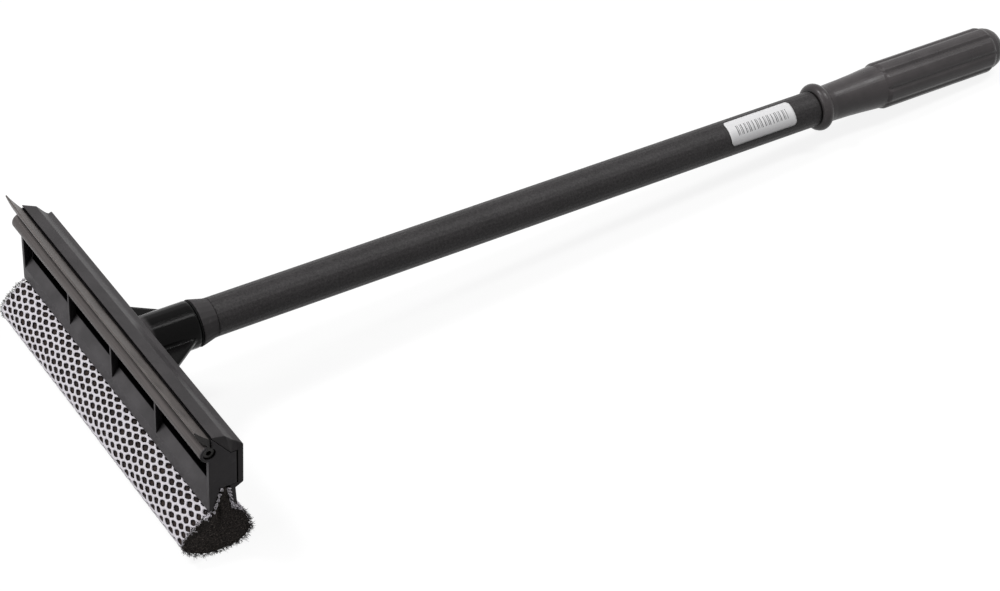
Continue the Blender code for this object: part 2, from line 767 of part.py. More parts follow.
def make_net(parent):
    """The net: six-sided gaps in staggered columns, drawn flat, then wrapped round the sponge."""
    outer = wrap_outline()
    run = (outer[2] - outer[1]).length
    half_width = HEAD_LENGTH / NET_COLUMNS / GAP_STEP_SHARE
    sheet = bmesh.new()
    made = {}

    def corner(across, row):
        key = (round(across / MERGE), row)
        if key not in made:
            made[key] = sheet.verts.new((0, across, row * run))
        return made[key]

    gaps = []
    for column in range(NET_COLUMNS + 1):
        for row in range((column + 1) % 2, NET_ROWS + 1, 2):
            corners = []
            for across_share, rows in GAP_CORNER_SHARES:
                across = (column * GAP_STEP_SHARE + across_share) * half_width
                if row + rows < 0 or row + rows > NET_ROWS:
                    continue
                corners.append(corner(min(max(across, 0), HEAD_LENGTH), row + rows))
            face = sheet.faces.new(corners)
            if 0 < row < NET_ROWS:
                gaps.append(face)
    for hem_row, edge_row in ((-1, 0), (NET_ROWS + 1, NET_ROWS)):
        edge = sorted((key[0] * MERGE for key in made if key[1] == edge_row))
        for start, end in zip(edge, edge[1:]):
            sheet.faces.new(
                (corner(start, edge_row), corner(end, edge_row), corner(end, hem_row), corner(start, hem_row))
            )
    bmesh.ops.recalc_face_normals(sheet, faces=sheet.faces[:])
    bmesh.ops.inset_individual(sheet, faces=gaps, thickness=NET_STRAND / 2, use_even_offset=True)
    bmesh.ops.delete(sheet, geom=gaps, context="FACES")
    for vertex in sheet.verts:
        row = vertex.co.z / run
        floor = min(max(math.floor(row), -1), NET_ROWS)
        point = outer[floor + 1].lerp(outer[floor + 2], row - floor)
        vertex.co = (point.x, vertex.co.y - HEAD_LENGTH / 2, point.y)
    net = add_object("net", sheet, "net_yarn", parent)
    yarn = net.modifiers.new("yarn", "SOLIDIFY")
    yarn.thickness = NET
    yarn.offset = 1
    yarn.use_even_offset = True
    return net


def make_tip(parent):
    """The handle's front end: a screwed shank, a conical collar and a cored plug for the tube."""
    nose = SOCKET_FLOOR + NOSE_ROOM
    collar_end = COLLAR_START + COLLAR_LENGTH
    tip = turned(
        (
            (nose, 0),
            (nose, THREAD_RADIUS - TIP_CHAMFER),
            (nose + TIP_CHAMFER, THREAD_RADIUS),
            (COLLAR_START, THREAD_RADIUS),
            (COLLAR_START, SOCKET_RADIUS),
            (COLLAR_START + COLLAR_LAND, SOCKET_RADIUS),
            (collar_end - COLLAR_LAND, TUBE_RADIUS + COLLAR_END),
            (collar_end, TUBE_RADIUS + COLLAR_END),
            (collar_end, PLUG_RADIUS),
            (collar_end + PLUG_LENGTH, PLUG_RADIUS),
            (collar_end + PLUG_LENGTH, PLUG_BORE),
            (nose + TIP_WALL, PLUG_BORE - TIP_CHAMFER),
            (nose + TIP_WALL, 0),
        ),
        ROUND_STEPS,
    )
    return add_object("handle_tip", tip, "collar_plastic", parent)


def make_washer(parent):
    """The thin washer between the socket's rim and the collar."""
    start = SOCKET_LENGTH + FIT
    outer = SOCKET_RADIUS - WASHER_INSET
    inner = THREAD_RADIUS + FIT
    ring = turned(
        ((start, inner), (start, outer), (start + WASHER, outer), (start + WASHER, inner)), ROUND_STEPS
    )
    return add_object("washer", ring, "washer_rubber", parent)


def make_tube(parent):
    """The painted tube of the handle."""
    inner = TUBE_RADIUS - TUBE_WALL
    tube = turned(
        ((TUBE_START, inner), (TUBE_START, TUBE_RADIUS), (TUBE_END, TUBE_RADIUS), (TUBE_END, inner)),
        ROUND_STEPS,
    )
    return add_object("tube", tube, "tube_paint", parent)


def make_grip(parent):
    """The grip: a cored plug for the tube, a ring, a waisted neck and a fluted body with a domed end."""
    outline = [Vector((GRIP_START - PLUG_LENGTH, PLUG_RADIUS)), Vector((GRIP_START, PLUG_RADIUS))]
    outline.extend(grip_profile())
    per_flute = len(FLUTE_HEIGHT_SHARES)
    count = FLUTE_COUNT * per_flute
    rings = []
    for point in outline:
        rise = FLUTE_RISE * flute_share(point.x)
        ring = []
        for step in range(count):
            angle = math.tau * (step - per_flute / 2) / count
            radius = point.y + rise * FLUTE_HEIGHT_SHARES[step % per_flute]
            ring.append((point.x, radius * math.cos(angle), radius * math.sin(angle)))
        rings.append(ring)
    grip = add_object("grip", lofted(rings), "grip_plastic", parent)
    start = GRIP_START - PLUG_LENGTH - OVERRUN
    end = GRIP_END - GRIP_CAP
    core = turned(((start, 0), (start, PLUG_BORE), (end, PLUG_BORE), (end, 0)), ROUND_STEPS)
    combine(grip, add_object("grip_core_guide", core, "grip_plastic", parent), "DIFFERENCE")
    return grip


def main():
    """Build the whole tool and lay it on its sole and its grip."""
    clear_scene()
    resting = bpy.data.objects.new("resting_pose", None)
    bpy.context.collection.objects.link(resting)
    sole = sole_point()
    turn = Matrix.Rotation(math.atan(rest_slope()), 4, "Y")
    resting.matrix_world = turn @ Matrix.Translation((-sole.x, 0, -sole.y))
    make_cover(resting)
    make_core(resting)
    make_screws(resting)
    make_blade(resting)
    make_sponge(resting)
    make_net(resting)
    make_washer(resting)
    make_tip(resting)
    make_tube(resting)
    make_grip(resting)


main()
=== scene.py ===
"""Finishes, net, foam, label and studio for a windshield squeegee with a long handle.

The rigid pieces are the frame's own solids. This file gives each of them its moulded, painted,
rubber or metal finish, puts a knitted net and an open-pored foam where the plain soft solids are,
adds the frayed yarns and the paper label, and lights and frames the whole tool. All lengths are in
metres, and every piece is made where the frame's solids stand.
"""

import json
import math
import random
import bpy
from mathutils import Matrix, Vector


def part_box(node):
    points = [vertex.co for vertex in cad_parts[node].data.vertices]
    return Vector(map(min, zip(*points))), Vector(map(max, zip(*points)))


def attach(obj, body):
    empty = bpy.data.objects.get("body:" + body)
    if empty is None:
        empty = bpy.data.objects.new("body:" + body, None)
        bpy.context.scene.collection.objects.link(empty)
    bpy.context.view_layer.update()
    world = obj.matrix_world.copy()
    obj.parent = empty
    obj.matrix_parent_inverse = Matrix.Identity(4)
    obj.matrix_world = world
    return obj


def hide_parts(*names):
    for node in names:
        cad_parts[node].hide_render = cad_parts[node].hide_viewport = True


bl_info = {
    "name": "Windshield squeegee finishes",
    "version": (1, 0, 0),
    "blender": (4, 5, 0),
    "location": "View3D > Sidebar > Squeegee",
    "description": "Net, foam, label, finishes and studio for a windshield squeegee",
    "category": "Object",
}

from collections import Counter

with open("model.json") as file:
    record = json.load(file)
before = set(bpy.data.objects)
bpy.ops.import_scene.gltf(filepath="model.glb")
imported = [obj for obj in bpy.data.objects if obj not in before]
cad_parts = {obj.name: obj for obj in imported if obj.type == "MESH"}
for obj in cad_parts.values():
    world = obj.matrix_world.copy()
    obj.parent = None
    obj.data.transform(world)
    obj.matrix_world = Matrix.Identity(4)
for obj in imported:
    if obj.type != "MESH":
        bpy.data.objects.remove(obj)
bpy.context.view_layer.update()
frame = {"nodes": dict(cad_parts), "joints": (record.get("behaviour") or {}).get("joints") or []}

import bmesh
import bpy
import numpy as np
from bpy.props import FloatProperty, FloatVectorProperty, IntProperty, PointerProperty
from mathutils import Matrix, Vector, kdtree, noise
from mathutils.geometry import delaunay_2d_cdt

SEED = 7
NODES = frame["nodes"]
JOINTS = {joint["name"]: joint for joint in frame["joints"]}
NET_LOW, NET_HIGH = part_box("net")
SPONGE_LOW, SPONGE_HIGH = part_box("sponge")

# The tool's own directions: along the shaft towards the grip, along the head, and square to both
SHAFT = Vector(JOINTS["handle_turn"]["axis"]).normalized()
ACROSS = Vector((0, 1, 0))
UPRIGHT = SHAFT.cross(ACROSS).normalized()

# Sizes of the solids that the finishes follow
SOCKET_LENGTH = 0.0263
THREAD_LEAD = 0.00508
CHANNEL_PLACE = (-0.0176, 0.0133)
CHANNEL_OUTSIDE = 0.0050
CHANNEL_END = -0.1006
# the back walls of the pockets, where a black shadow is painted
POCKET_LOW = -0.0102
POCKET_HIGH = 0.0085
POCKET_BACK = -0.0144
POCKET_END = 0.0982
TOOL_ORIGIN = Vector(JOINTS["handle_turn"]["pos_m"]) - SHAFT * SOCKET_LENGTH

# The knit: how far an opening's rim reaches at each of the twelve points round it, as a rounded
# diamond
HEX_STEPS = 12
RIM_REACH = (1.0, 0.82, 0.777, 0.857, 0.777, 0.82) * 2
SIZE_RANGE = (0.93, 1.07)
LEAN = 0.09
SIDE_CREST = 0.82
SHOULDER_SHARE = 0.42
SHOULDER_RISE = 0.78
OUTER_RISE = 0.5

# The sponge and the net round it: where the section is taken, the band that counts as the top,
# the neck between the jaws, the gap at the net's ends, and what its two hems take of the wrap
SECTION_PLACE = 0.0005
TOP_BAND = 0.0006
NECK_HEIGHT = 0.012
NET_END_GAP = 0.0002
HEM_SHARES = (0.15, 0.86)
HEM_INSET = 0.0030
WRAP_STEP = 0.0005
YARN_FLOOR = NET_LOW.z + 0.0001
FIBRE_SIDES = 4

# Colours that are no setting, the roundings that shading gives to facets, and the studio
# near black that is painted into recesses and onto the pocket backs as shade
RECESS_SHADE_BLACK = (0.0010, 0.0009, 0.0010, 1.0)
YARN_GRIME = (0.42, 0.40, 0.39, 1.0)
FOAM_SIDE = ((0.048, 0.034, 0.030, 1.0), (0.030, 0.023, 0.022, 1.0))
FOAM_SHADE = (0.006, 0.004, 0.005, 1.0)
WASHER_BLACK = (0.010, 0.010, 0.010)
STEEL = (0.55, 0.55, 0.54)
PAPER = (0.88, 0.875, 0.885)
INK = (0.10, 0.10, 0.105)
WHITE = (1.0, 1.0, 1.0, 1.0)
FLOOR_GREY = (0.18, 0.18, 0.18, 1.0)
FLOOR_GLOW = 0.88
FACET_ROUNDING = 0.0009
POLISHED_ROUNDING = 0.0026
EDGE_DOTS = (0.995, 0.80)
LABEL_COLUMNS = 46
LABEL_ROWS = 22
LABEL_LIFT = 0.00004
LABEL_CURL = 0.00016
CURL_START = 0.93
CURL_SPAN = 0.07
CAMERA_PLACE = (-0.403, -0.840, 0.7775)
CAMERA_RIGHT = (0.83256009, -0.55040562, 0.06242874)
CAMERA_DOWN = (-0.30419735, -0.54847964, -0.77886716)
CAMERA_AHEAD = (0.46293376, 0.62946306, -0.62407419)

# Each lamp's name, setting for its power, size, place and the place that it points at
LAMPS = (
    ("key_lamp", "key", (0.39, 0.39), (-0.55, 0.50, 1.60), (0.10, 0, 0)),
    ("front_lamp", "front", (0.70, 0.70), (-1.35, 0.10, 0.85), (0.05, 0, 0)),
    ("top_lamp", "top", (0.26, 0.86), (1.10, -0.24, 1.55), (0.25, 0, 0)),
)


def tool_point(along, across, up):
    """A point in the row frame from its place along the shaft, the head and square to both."""
    return TOOL_ORIGIN + SHAFT * along + ACROSS * across + UPRIGHT * up


def tool_direction(along, across, up):
    """A direction in the row frame from its parts along the shaft, the head and square to both."""
    return (SHAFT * along + ACROSS * across + UPRIGHT * up).normalized()


def tinted(colour, factor):
    """A colour made lighter or darker."""
    return (colour[0] * factor, colour[1] * factor, colour[2] * factor, 1.0)


def add_piece(name, points, faces, finish, body, slot=None):
    """Make a smooth mesh object from points and faces, and let it ride on a body of the frame."""
    mesh = bpy.data.meshes.new(name)
    mesh.from_pydata([tuple(point) for point in points], [], faces)
    mesh.materials.append(finish)
    mesh.validate()
    shape = bmesh.new()
    shape.from_mesh(mesh)
    bmesh.ops.recalc_face_normals(shape, faces=shape.faces[:])
    shape.to_mesh(mesh)
    shape.free()
    mesh.shade_smooth()
    piece = bpy.data.objects.new(name, mesh)
    bpy.context.scene.collection.objects.link(piece)
    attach(piece, body)
    return piece


def coat(names, finish):
    """Put one finish on the named solids of the frame."""
    for name in names:
        mesh = NODES[name].data
        mesh.materials.clear()
        mesh.materials.append(finish)


def section(node, place):
    """The closed outline of a frame solid where the plane Y = place cuts it, as (X, Z) points."""
    shape = bmesh.new()
    shape.from_mesh(NODES[node].data)
    bmesh.ops.remove_doubles(shape, verts=shape.verts[:], dist=1e-5)
    geometry = shape.verts[:] + shape.edges[:] + shape.faces[:]
    cut = bmesh.ops.bisect_plane(
        shape, geom=geometry, dist=1e-6, plane_co=(0, place, 0), plane_no=(0, 1, 0)
    )["geom_cut"]
    partners = {}
    for edge in cut:
        if isinstance(edge, bmesh.types.BMEdge):
            first, second = edge.verts
            partners.setdefault(first, []).append(second)
            partners.setdefault(second, []).append(first)
    start = max(partners, key=lambda vert: vert.co.z)
    outline = [start]
    before = None
    while True:
        onward = [vert for vert in partners[outline[-1]] if vert is not before]
        if not onward or onward[0] is start:
            break
        before = outline[-1]
        outline.append(onward[0])
        if len(outline) > len(partners):
            raise RuntimeError(f"The cut through {node} is not one closed outline")
    points = [Vector((vert.co.x, vert.co.z)) for vert in outline]
    shape.free()
    return points


def sponge_outline():
    """The sponge's outline at mid length, from the frame."""
    return section("sponge", SECTION_PLACE)


def open_wrap(outline):
    """The outline opened at its top edge, from the front corner round the sole to the rear one."""
    top = max(point.y for point in outline)
    high = [index for index, point in enumerate(outline) if point.y > top - TOP_BAND]
    front = min(high, key=lambda index: outline[index].x)
    rear = max(high, key=lambda index: outline[index].x)
    count = len(outline)
    forward = [outline[(front + step) % count] for step in range((rear - front) % count + 1)]
    backward = [outline[(front - step) % count] for step in range((front - rear) % count + 1)]
    return min(forward, backward, key=lambda path: min(point.y for point in path))


class Wrap:
    """A path round the sponge, measured by its length, with its outward direction."""

    def __init__(self, outline, step):
        points = np.array([tuple(point) for point in outline])
        parts = np.linalg.norm(np.diff(points, axis=0), axis=1)
        lengths = np.concatenate([[0], np.cumsum(parts)])
        self.length = lengths[-1]
        self.places = np.linspace(0, self.length, int(self.length / step) + 1)
        self.points = np.stack(
            [np.interp(self.places, lengths, points[:, axis]) for axis in (0, 1)], 1
        )
        tangent = np.gradient(self.points, axis=0)
        tangent /= np.linalg.norm(tangent, axis=1, keepdims=True)
        normal = np.stack([tangent[:, 1], -tangent[:, 0]], 1)
        if ((self.points - self.points.mean(0)) * normal).sum() < 0:
            normal = -normal
        kernel = np.ones(5) / 5
        padded = np.pad(normal, ((2, 2), (0, 0)), mode="edge")
        normal = np.stack([np.convolve(column, kernel, mode="valid") for column in padded.T], 1)
        self.normals = normal / np.linalg.norm(normal, axis=1, keepdims=True)

    def at(self, place, height):
        """The (X, Z) point at a length along the path, and a height outside it."""
        here = [np.interp(place, self.places, self.points[:, axis]) for axis in (0, 1)]
        out = [np.interp(place, self.places, self.normals[:, axis]) for axis in (0, 1)]
        scale = height / max(math.hypot(*out), 1e-9)
        return here[0] + out[0] * scale, here[1] + out[1] * scale


def point_tree(points):
    """A search tree of flat points."""
    tree = kdtree.KDTree(len(points))
    for index, point in enumerate(points):
        tree.insert((point[0], point[1], 0), index)
    tree.balance()
    return tree


def wall_faces(rings, count):
    """Four-sided faces between neighbouring closed rings of points, with count points in each."""
    faces = []
    for near in range(0, (rings - 1) * count, count):
        far = near + count
        for index in range(count):
            onward = (index + 1) % count
            faces.append((near + index, near + onward, far + onward, far + index))
    return faces


def strand(points, radii, sides):
    """A thin round tube along points, closed at both ends: its points and faces."""
    made = []
    guide = Vector((0.3, 0.2, 0.93))
    for index, point in enumerate(points):
        ahead = points[min(index + 1, len(points) - 1)] - points[max(index - 1, 0)]
        ahead.normalize()
        side = ahead.cross(guide)
        if side.length < 1e-6:
            side = ahead.cross(Vector((1, 0, 0)))
        side.normalize()
        other = ahead.cross(side)
        guide = side.cross(ahead)
        for step in range(sides):
            angle = math.tau * step / sides
            made.append(point + (side * math.cos(angle) + other * math.sin(angle)) * radii[index])
    faces = wall_faces(len(points), sides)
    faces.append(tuple(range(sides))[::-1])
    faces.append(tuple((len(points) - 1) * sides + step for step in range(sides)))
    return made, faces


def fibre(line, radii):
    """A loose yarn or foam fibre along a line, kept above the floor."""
    for point in line:
        point.z = max(point.z, YARN_FLOOR)
    return strand(line, radii, FIBRE_SIDES)


def gather(parts):
    """Put several (points, faces) together as one."""
    points = []
    faces = []
    for part_points, part_faces in parts:
        first = len(points)
        points.extend(part_points)
        faces.extend(tuple(first + corner for corner in face) for face in part_faces)
    return points, faces


def add_node(tree, kind, settings=None, **inputs):
    """Add a node to a tree, with its settings, and values or links for its inputs.

    An input goes by its name, with _ for a space, or by the letter i and its number.
    """
    made = tree.nodes.new(kind)
    for name, value in (settings or {}).items():
        setattr(made, name, value)
    for name, value in inputs.items():
        key = int(name[1:]) if name[0] == "i" and name[1:].isdigit() else name.replace("_", " ")
        socket = made.inputs[key]
        if isinstance(value, bpy.types.NodeSocket):
            tree.links.new(value, socket)
        else:
            socket.default_value = value
    return made


class Finish:
    """A material under construction, with short names for the nodes that it uses."""

    def __init__(self, name, colour, roughness, specular, **sockets):
        self.colour = colour
        self.material = bpy.data.materials.new(name)
        self.material.use_nodes = True
        self.tree = self.material.node_tree
        self.shader = self.tree.nodes["Principled BSDF"]
        sockets.update(Roughness=roughness, Specular_IOR_Level=specular)
        for socket, value in sockets.items():
            self.shader.inputs[socket.replace("_", " ")].default_value = value
        self.place = self.node("ShaderNodeTexCoord").outputs["Object"]

    def node(self, kind, settings=None, **inputs):
        """Add a node to the finish."""
        return add_node(self.tree, kind, settings, **inputs)

    def dot(self, first, second):
        """The dot product of two directions."""
        made = self.node("ShaderNodeVectorMath", {"operation": "DOT_PRODUCT"}, i0=first, i1=second)
        return made.outputs["Value"]

    def measure(self, direction, scale=1.0, origin=TOOL_ORIGIN):
        """How far a place lies from an origin in one direction, times a scale."""
        moved = self.node(
            "ShaderNodeVectorMath", {"operation": "SUBTRACT"}, i0=self.place, i1=origin
        )
        return self.dot(moved.outputs[0], direction * scale)

    def stretched(self, along, across, upright):
        """The place with unlike scales along the shaft, along the head and square to both."""
        scaled = self.node(
            "ShaderNodeCombineXYZ",
            X=self.measure(SHAFT, along),
            Y=self.measure(ACROSS, across),
            Z=self.measure(UPRIGHT, upright),
        )
        return scaled.outputs[0]

    def noise(self, scale, detail=3.0, rough=0.55, place=None, distortion=0.0):
        """Soft noise from 0 to 1."""
        made = self.node(
            "ShaderNodeTexNoise", Vector=place or self.place, Scale=scale, Detail=detail,
            Roughness=rough, Distortion=distortion,
        )
        return made.outputs["Fac"]

    def cells(self, scale, feature="F1"):
        """Distance to the middle of the nearest cell."""
        made = self.node(
            "ShaderNodeTexVoronoi", {"feature": feature}, Vector=self.place, Scale=scale
        )
        return made.outputs["Distance"]

    def math(self, operation, first, second=0.0):
        """One step of arithmetic."""
        return self.node("ShaderNodeMath", {"operation": operation}, i0=first, i1=second).outputs[0]

    def product(self, first, *others):
        """Several values multiplied together."""
        for other in others:
            first = self.math("MULTIPLY", first, other)
        return first

    def remap(self, value, low, high, new_low=0.0, new_high=1.0):
        """A value taken smoothly from one range to another, and held at its ends."""
        made = self.node(
            "ShaderNodeMapRange", {"interpolation_type": "SMOOTHSTEP"}, Value=value,
            From_Min=low, From_Max=high, To_Min=new_low, To_Max=new_high,
        )
        return made.outputs["Result"]

    def past(self, value, edge, fade):
        """1 past an edge and 0 a fade's width before it; a negative fade turns the sides round."""
        return self.remap(value, edge - fade, edge)

    def mix(self, factor, first, second):
        """A colour between two colours."""
        made = self.node("ShaderNodeMix", {"data_type": "RGBA"}, i0=factor, i6=first, i7=second)
        return made.outputs[2]

    def clouded(self, field, low, high, dark, pale, colour=None):
        """The finish's colour, or another, from a darker to a paler tone over a field's range."""
        base = self.colour if colour is None else colour
        return self.mix(self.remap(field, low, high), tinted(base, dark), tinted(base, pale))

    def marked(self, under, field, low, high, tone, most=1.0):
        """Marks in another tone of the finish's colour, at most so strong, over a field's range."""
        return self.mix(self.remap(field, low, high, 0.0, most), under, tinted(self.colour, tone))

    def rounded(self, radius, samples=8):
        """The surface direction with edges and facets rounded off."""
        return self.node("ShaderNodeBevel", {"samples": samples}, Radius=radius).outputs[0]

    def edges(self, radius):
        """How close a place is to a sharp edge of the piece, from 0 to 1."""
        plain = self.node("ShaderNodeNewGeometry").outputs["Normal"]
        return self.remap(self.dot(self.rounded(radius, 6), plain), *EDGE_DOTS)

    def recesses(self, reach, open_share, shut_share):
        """How shut in a place is by the shapes round it: 0 in the open and 1 deep in a recess."""
        made = self.node("ShaderNodeAmbientOcclusion", {"samples": 8}, Distance=reach)
        return self.remap(made.outputs["AO"], open_share, shut_share)

    def painted_recess_shade(self, colour, reach, amount, open_share, shut_share, deep=None):
        """Painted shade: a colour darker in recesses, and black and dull in a deep zone as shadow.
        """
        share = self.product(self.recesses(reach, open_share, shut_share), amount)
        if deep is not None:
            share = self.math("MAXIMUM", share, deep)
            shine = self.shader.inputs["Specular IOR Level"]
            self.tree.links.new(self.remap(share, 0.0, 1.0, shine.default_value, 0.0), shine)
        return self.mix(share, colour, RECESS_SHADE_BLACK)

    def bump(self, height, distance, strength=1.0, under=None):
        """A bump of a height map, on another bump if one is given."""
        made = self.node("ShaderNodeBump", Height=height, Distance=distance, Strength=strength)
        if under is not None:
            self.tree.links.new(under, made.inputs["Normal"])
        return made.outputs["Normal"]

    def finish(self, colour, roughness, normal):
        """Connect the finished maps to the shader, and give the material."""
        for socket, value in (("Base Color", colour), ("Roughness", roughness), ("Normal", normal)):
            if value is not None:
                self.tree.links.new(value, self.shader.inputs[socket])
        return self.material


def moulded_plastic(name, colour, roughness, specular, polished=None, deep=None, ridges=None):
    """Black moulded plastic: cloudy colour, fine grain, faint scratches and paler worn edges.

    polished is (zone, roughness there, colour there) for a zone that the mould left glossier; on the
    blade channel that colour is partly a painted sheen. deep is a zone painted black and dull as
    shadow, and ridges is (height map, height in metres) for raised ridges. Recesses get painted
    shade. Each zone and map is a function that builds its value.
    """
    made = Finish(name, colour, roughness, specular)
    clouds = made.noise(55, 4)
    scratches = made.noise(260, 2, 0.6, made.stretched(1.0, 0.06, 1.0))
    worn = made.product(made.edges(0.0007), made.remap(made.noise(190, 4), 0.40, 0.62))
    shade = made.clouded(clouds, 0.35, 0.68, dark=0.84, pale=1.16)
    shade = made.marked(shade, scratches, 0.63, 0.74, tone=1.9, most=0.30)
    shade = made.mix(made.product(worn, 0.30), shade, tinted(colour, 2.2))
    rough = made.remap(clouds, 0.30, 0.72, roughness - 0.05, roughness + 0.07)
    rough = made.math("ADD", rough, made.product(worn, 0.10))
    rounding = FACET_ROUNDING
    if polished is not None:
        build_zone, polish, zone_tone_and_sheen = polished
        zone = build_zone(made)
        rounding = made.remap(zone, 0.0, 1.0, FACET_ROUNDING, POLISHED_ROUNDING)
        blend = made.node("ShaderNodeMix", {"data_type": "FLOAT"}, i0=zone, i2=rough, i3=polish)
        rough = blend.outputs[0]
        streaks = made.noise(900, 2, 0.5, made.stretched(1.0, 0.02, 1.0))
        # on the blade channel this colour is partly a painted sheen
        streaked_tone_and_sheen = made.clouded(streaks, 0.35, 0.7, dark=0.85, pale=1.15, colour=zone_tone_and_sheen)
        shade = made.mix(zone, shade, streaked_tone_and_sheen)
    normal = made.bump(made.noise(5200, 2, 0.5), 0.00004, 0.35, made.rounded(rounding))
    normal = made.bump(clouds, 0.0006, 0.10, normal)
    if ridges is not None:
        build_ridges, height = ridges
        normal = made.bump(build_ridges(made), height, 1.0, normal)
    # painted shade: near black in the recesses and on the deep zone
    shade = made.painted_recess_shade(shade, 0.024, 0.92, 0.74, 0.34, deep and deep(made))
    return made.finish(shade, rough, normal)


def lobe_zone(made):
    """1 on the blade channel's round outside and 0 elsewhere on the core."""
    centre = tool_point(CHANNEL_PLACE[0], 0, CHANNEL_PLACE[1])
    along = made.measure(SHAFT, 1.0, centre)
    up = made.measure(UPRIGHT, 1.0, centre)
    square = made.math("ADD", made.product(along, along), made.product(up, up))
    near = made.past(made.math("SQRT", square), CHANNEL_OUTSIDE, -0.0004)
    return made.product(near, made.past(made.measure(ACROSS), CHANNEL_END, 0.0004))


def pocket_shadow_zone(made):
    """1 on the pocket backs under the blade channel and above the ledge, painted as shadow, else 0.
    """
    up = made.measure(UPRIGHT)
    # painted shadow: this zone turns the pocket backs black and dull
    return made.product(
        made.past(up, POCKET_LOW, 0.0004),
        made.past(up, POCKET_HIGH, -0.0003),
        made.past(made.measure(SHAFT), POCKET_BACK, 0.0004),
        made.past(made.math("ABSOLUTE", made.measure(ACROSS)), POCKET_END, -0.0003),
    )


def socket_zone(made):
    """1 on the polished socket behind the head and 0 on the head."""
    return made.past(made.measure(SHAFT), 0.0030, 0.0025)


def thread_ridges(made):
    """Height of the screw thread round the shank: one ridge a turn, and none on the collar."""
    angle = made.math("ARCTAN2", made.measure(UPRIGHT), made.measure(ACROSS))
    turns = made.math("DIVIDE", angle, math.tau)
    thread = made.math("SUBTRACT", made.measure(SHAFT, 1 / THREAD_LEAD), turns)
    ridge = made.remap(made.math("PINGPONG", thread, 0.5), 0.16, 0.34)
    return made.product(ridge, made.past(made.measure(SHAFT), SOCKET_LENGTH - 0.0008, -0.0006))


def blade_rubber(colour, roughness):
    """Extruded rubber: fine lines along the blade, cloudy bloom, and cut ends painted dark as shade.
    """
    made = Finish("blade_rubber", colour, roughness, 0.22)
    lines = made.noise(1500, 2, 0.5, made.stretched(1.0, 0.008, 1.0))
    bloom = made.noise(70, 5, 0.6)
    facing = made.node("ShaderNodeNewGeometry").outputs["True Normal"]
    cut = made.math("ABSOLUTE", made.dot(facing, ACROSS))
    shade = made.clouded(bloom, 0.35, 0.70, dark=0.80, pale=1.22)
    shade = made.marked(shade, lines, 0.52, 0.72, tone=1.7, most=0.45)
    shade = made.mix(made.product(made.edges(0.0004), 0.5), shade, tinted(colour, 2.1))
    # painted shade: the faces that look along the head, the cut ends, are drawn dark
    shade = made.marked(shade, cut, 0.90, 0.96, tone=0.22)
    rough = made.remap(bloom, 0.3, 0.7, roughness - 0.06, roughness + 0.10)
    normal = made.bump(lines, 0.00006, 0.45, made.rounded(0.0005))
    normal = made.bump(made.noise(2300, 2), 0.00002, 0.35, normal)
    # painted shade in the recesses round the blade
    return made.finish(made.painted_recess_shade(shade, 0.009, 0.92, 0.86, 0.46), rough, normal)


def open_foam(colour):
    """Open-celled foam: dark pores between paler cell walls on the cut ends, and shaded sides."""
    made = Finish("sponge_foam", colour, 0.95, 0.18)
    large = made.product(made.cells(1500), 0.65)
    depth = made.math("ADD", large, made.product(made.cells(3400), 0.35))
    patches = made.noise(120, 4, 0.6)
    crumbs = made.noise(760, 3, 0.75)
    walls = made.clouded(patches, 0.35, 0.7, dark=0.75, pale=1.25)
    # painted shade: the pores are drawn dark between the paler cell walls
    shade = made.mix(made.remap(depth, 0.25, 0.62), tinted(colour, 0.22), walls)
    shade = made.marked(shade, crumbs, 0.47, 0.36, tone=0.12)
    shade = made.marked(shade, crumbs, 0.55, 0.68, tone=4.0, most=0.85)
    side = made.mix(made.remap(patches, 0.35, 0.65), *FOAM_SIDE)
    side = made.mix(made.recesses(0.0022, 0.92, 0.55), side, FOAM_SHADE)
    cut = made.remap(made.math("ABSOLUTE", made.measure(ACROSS)), 0.0988, 0.1000)
    return made.finish(made.mix(cut, side, shade), None, made.bump(depth, 0.0005, 0.9))


def net_yarn(colour):
    """White knitted yarn: fine filaments, small shaded dips and a little grime."""
    made = Finish("net_yarn", colour, 0.82, 0.25, Sheen_Weight=0.25, Sheen_Roughness=0.5)
    filaments = made.noise(3800, 3, 0.6, distortion=1.2)
    loops = made.cells(1150, "SMOOTH_F1")
    shade = made.clouded(filaments, 0.34, 0.66, dark=0.86, pale=1.03)
    shade = made.marked(shade, loops, 0.55, 0.95, tone=0.62, most=0.35)
    grime = made.remap(made.noise(42, 4, 0.6), 0.58, 0.80, 0.0, 0.16)
    rough = made.remap(filaments, 0.3, 0.7, 0.74, 0.92)
    normal = made.bump(filaments, 0.00010, 0.60, made.bump(loops, 0.00025, 0.55))
    return made.finish(made.mix(grime, shade, YARN_GRIME), rough, normal)


def wrinkled_paint(colour, roughness):
    """Textured black paint on steel tube: tiny wrinkles, paler on their tops."""
    made = Finish("tube_paint", colour, roughness, 0.16)
    wrinkle = made.noise(1900, 3, 0.62, distortion=0.8)
    rubbing = made.noise(420, 3, 0.7, made.stretched(0.2, 1.0, 1.0))
    speckle = made.noise(820, 3, 0.7)
    shade = made.clouded(made.noise(35, 3), 0.35, 0.68, dark=0.88, pale=1.14)
    shade = made.marked(shade, wrinkle, 0.50, 0.66, tone=1.75, most=0.55)
    shade = made.marked(shade, rubbing, 0.66, 0.76, tone=2.1, most=0.4)
    shade = made.marked(shade, speckle, 0.50, 0.62, tone=2.0, most=0.45)
    shade = made.marked(shade, speckle, 0.45, 0.36, tone=0.45, most=0.60)
    rough = made.remap(wrinkle, 0.32, 0.70, roughness + 0.10, roughness - 0.06)
    normal = made.bump(wrinkle, 0.00018, 0.55, made.rounded(0.0014))
    normal = made.bump(made.noise(5200, 2), 0.00005, 0.4, normal)
    return made.finish(shade, rough, normal)


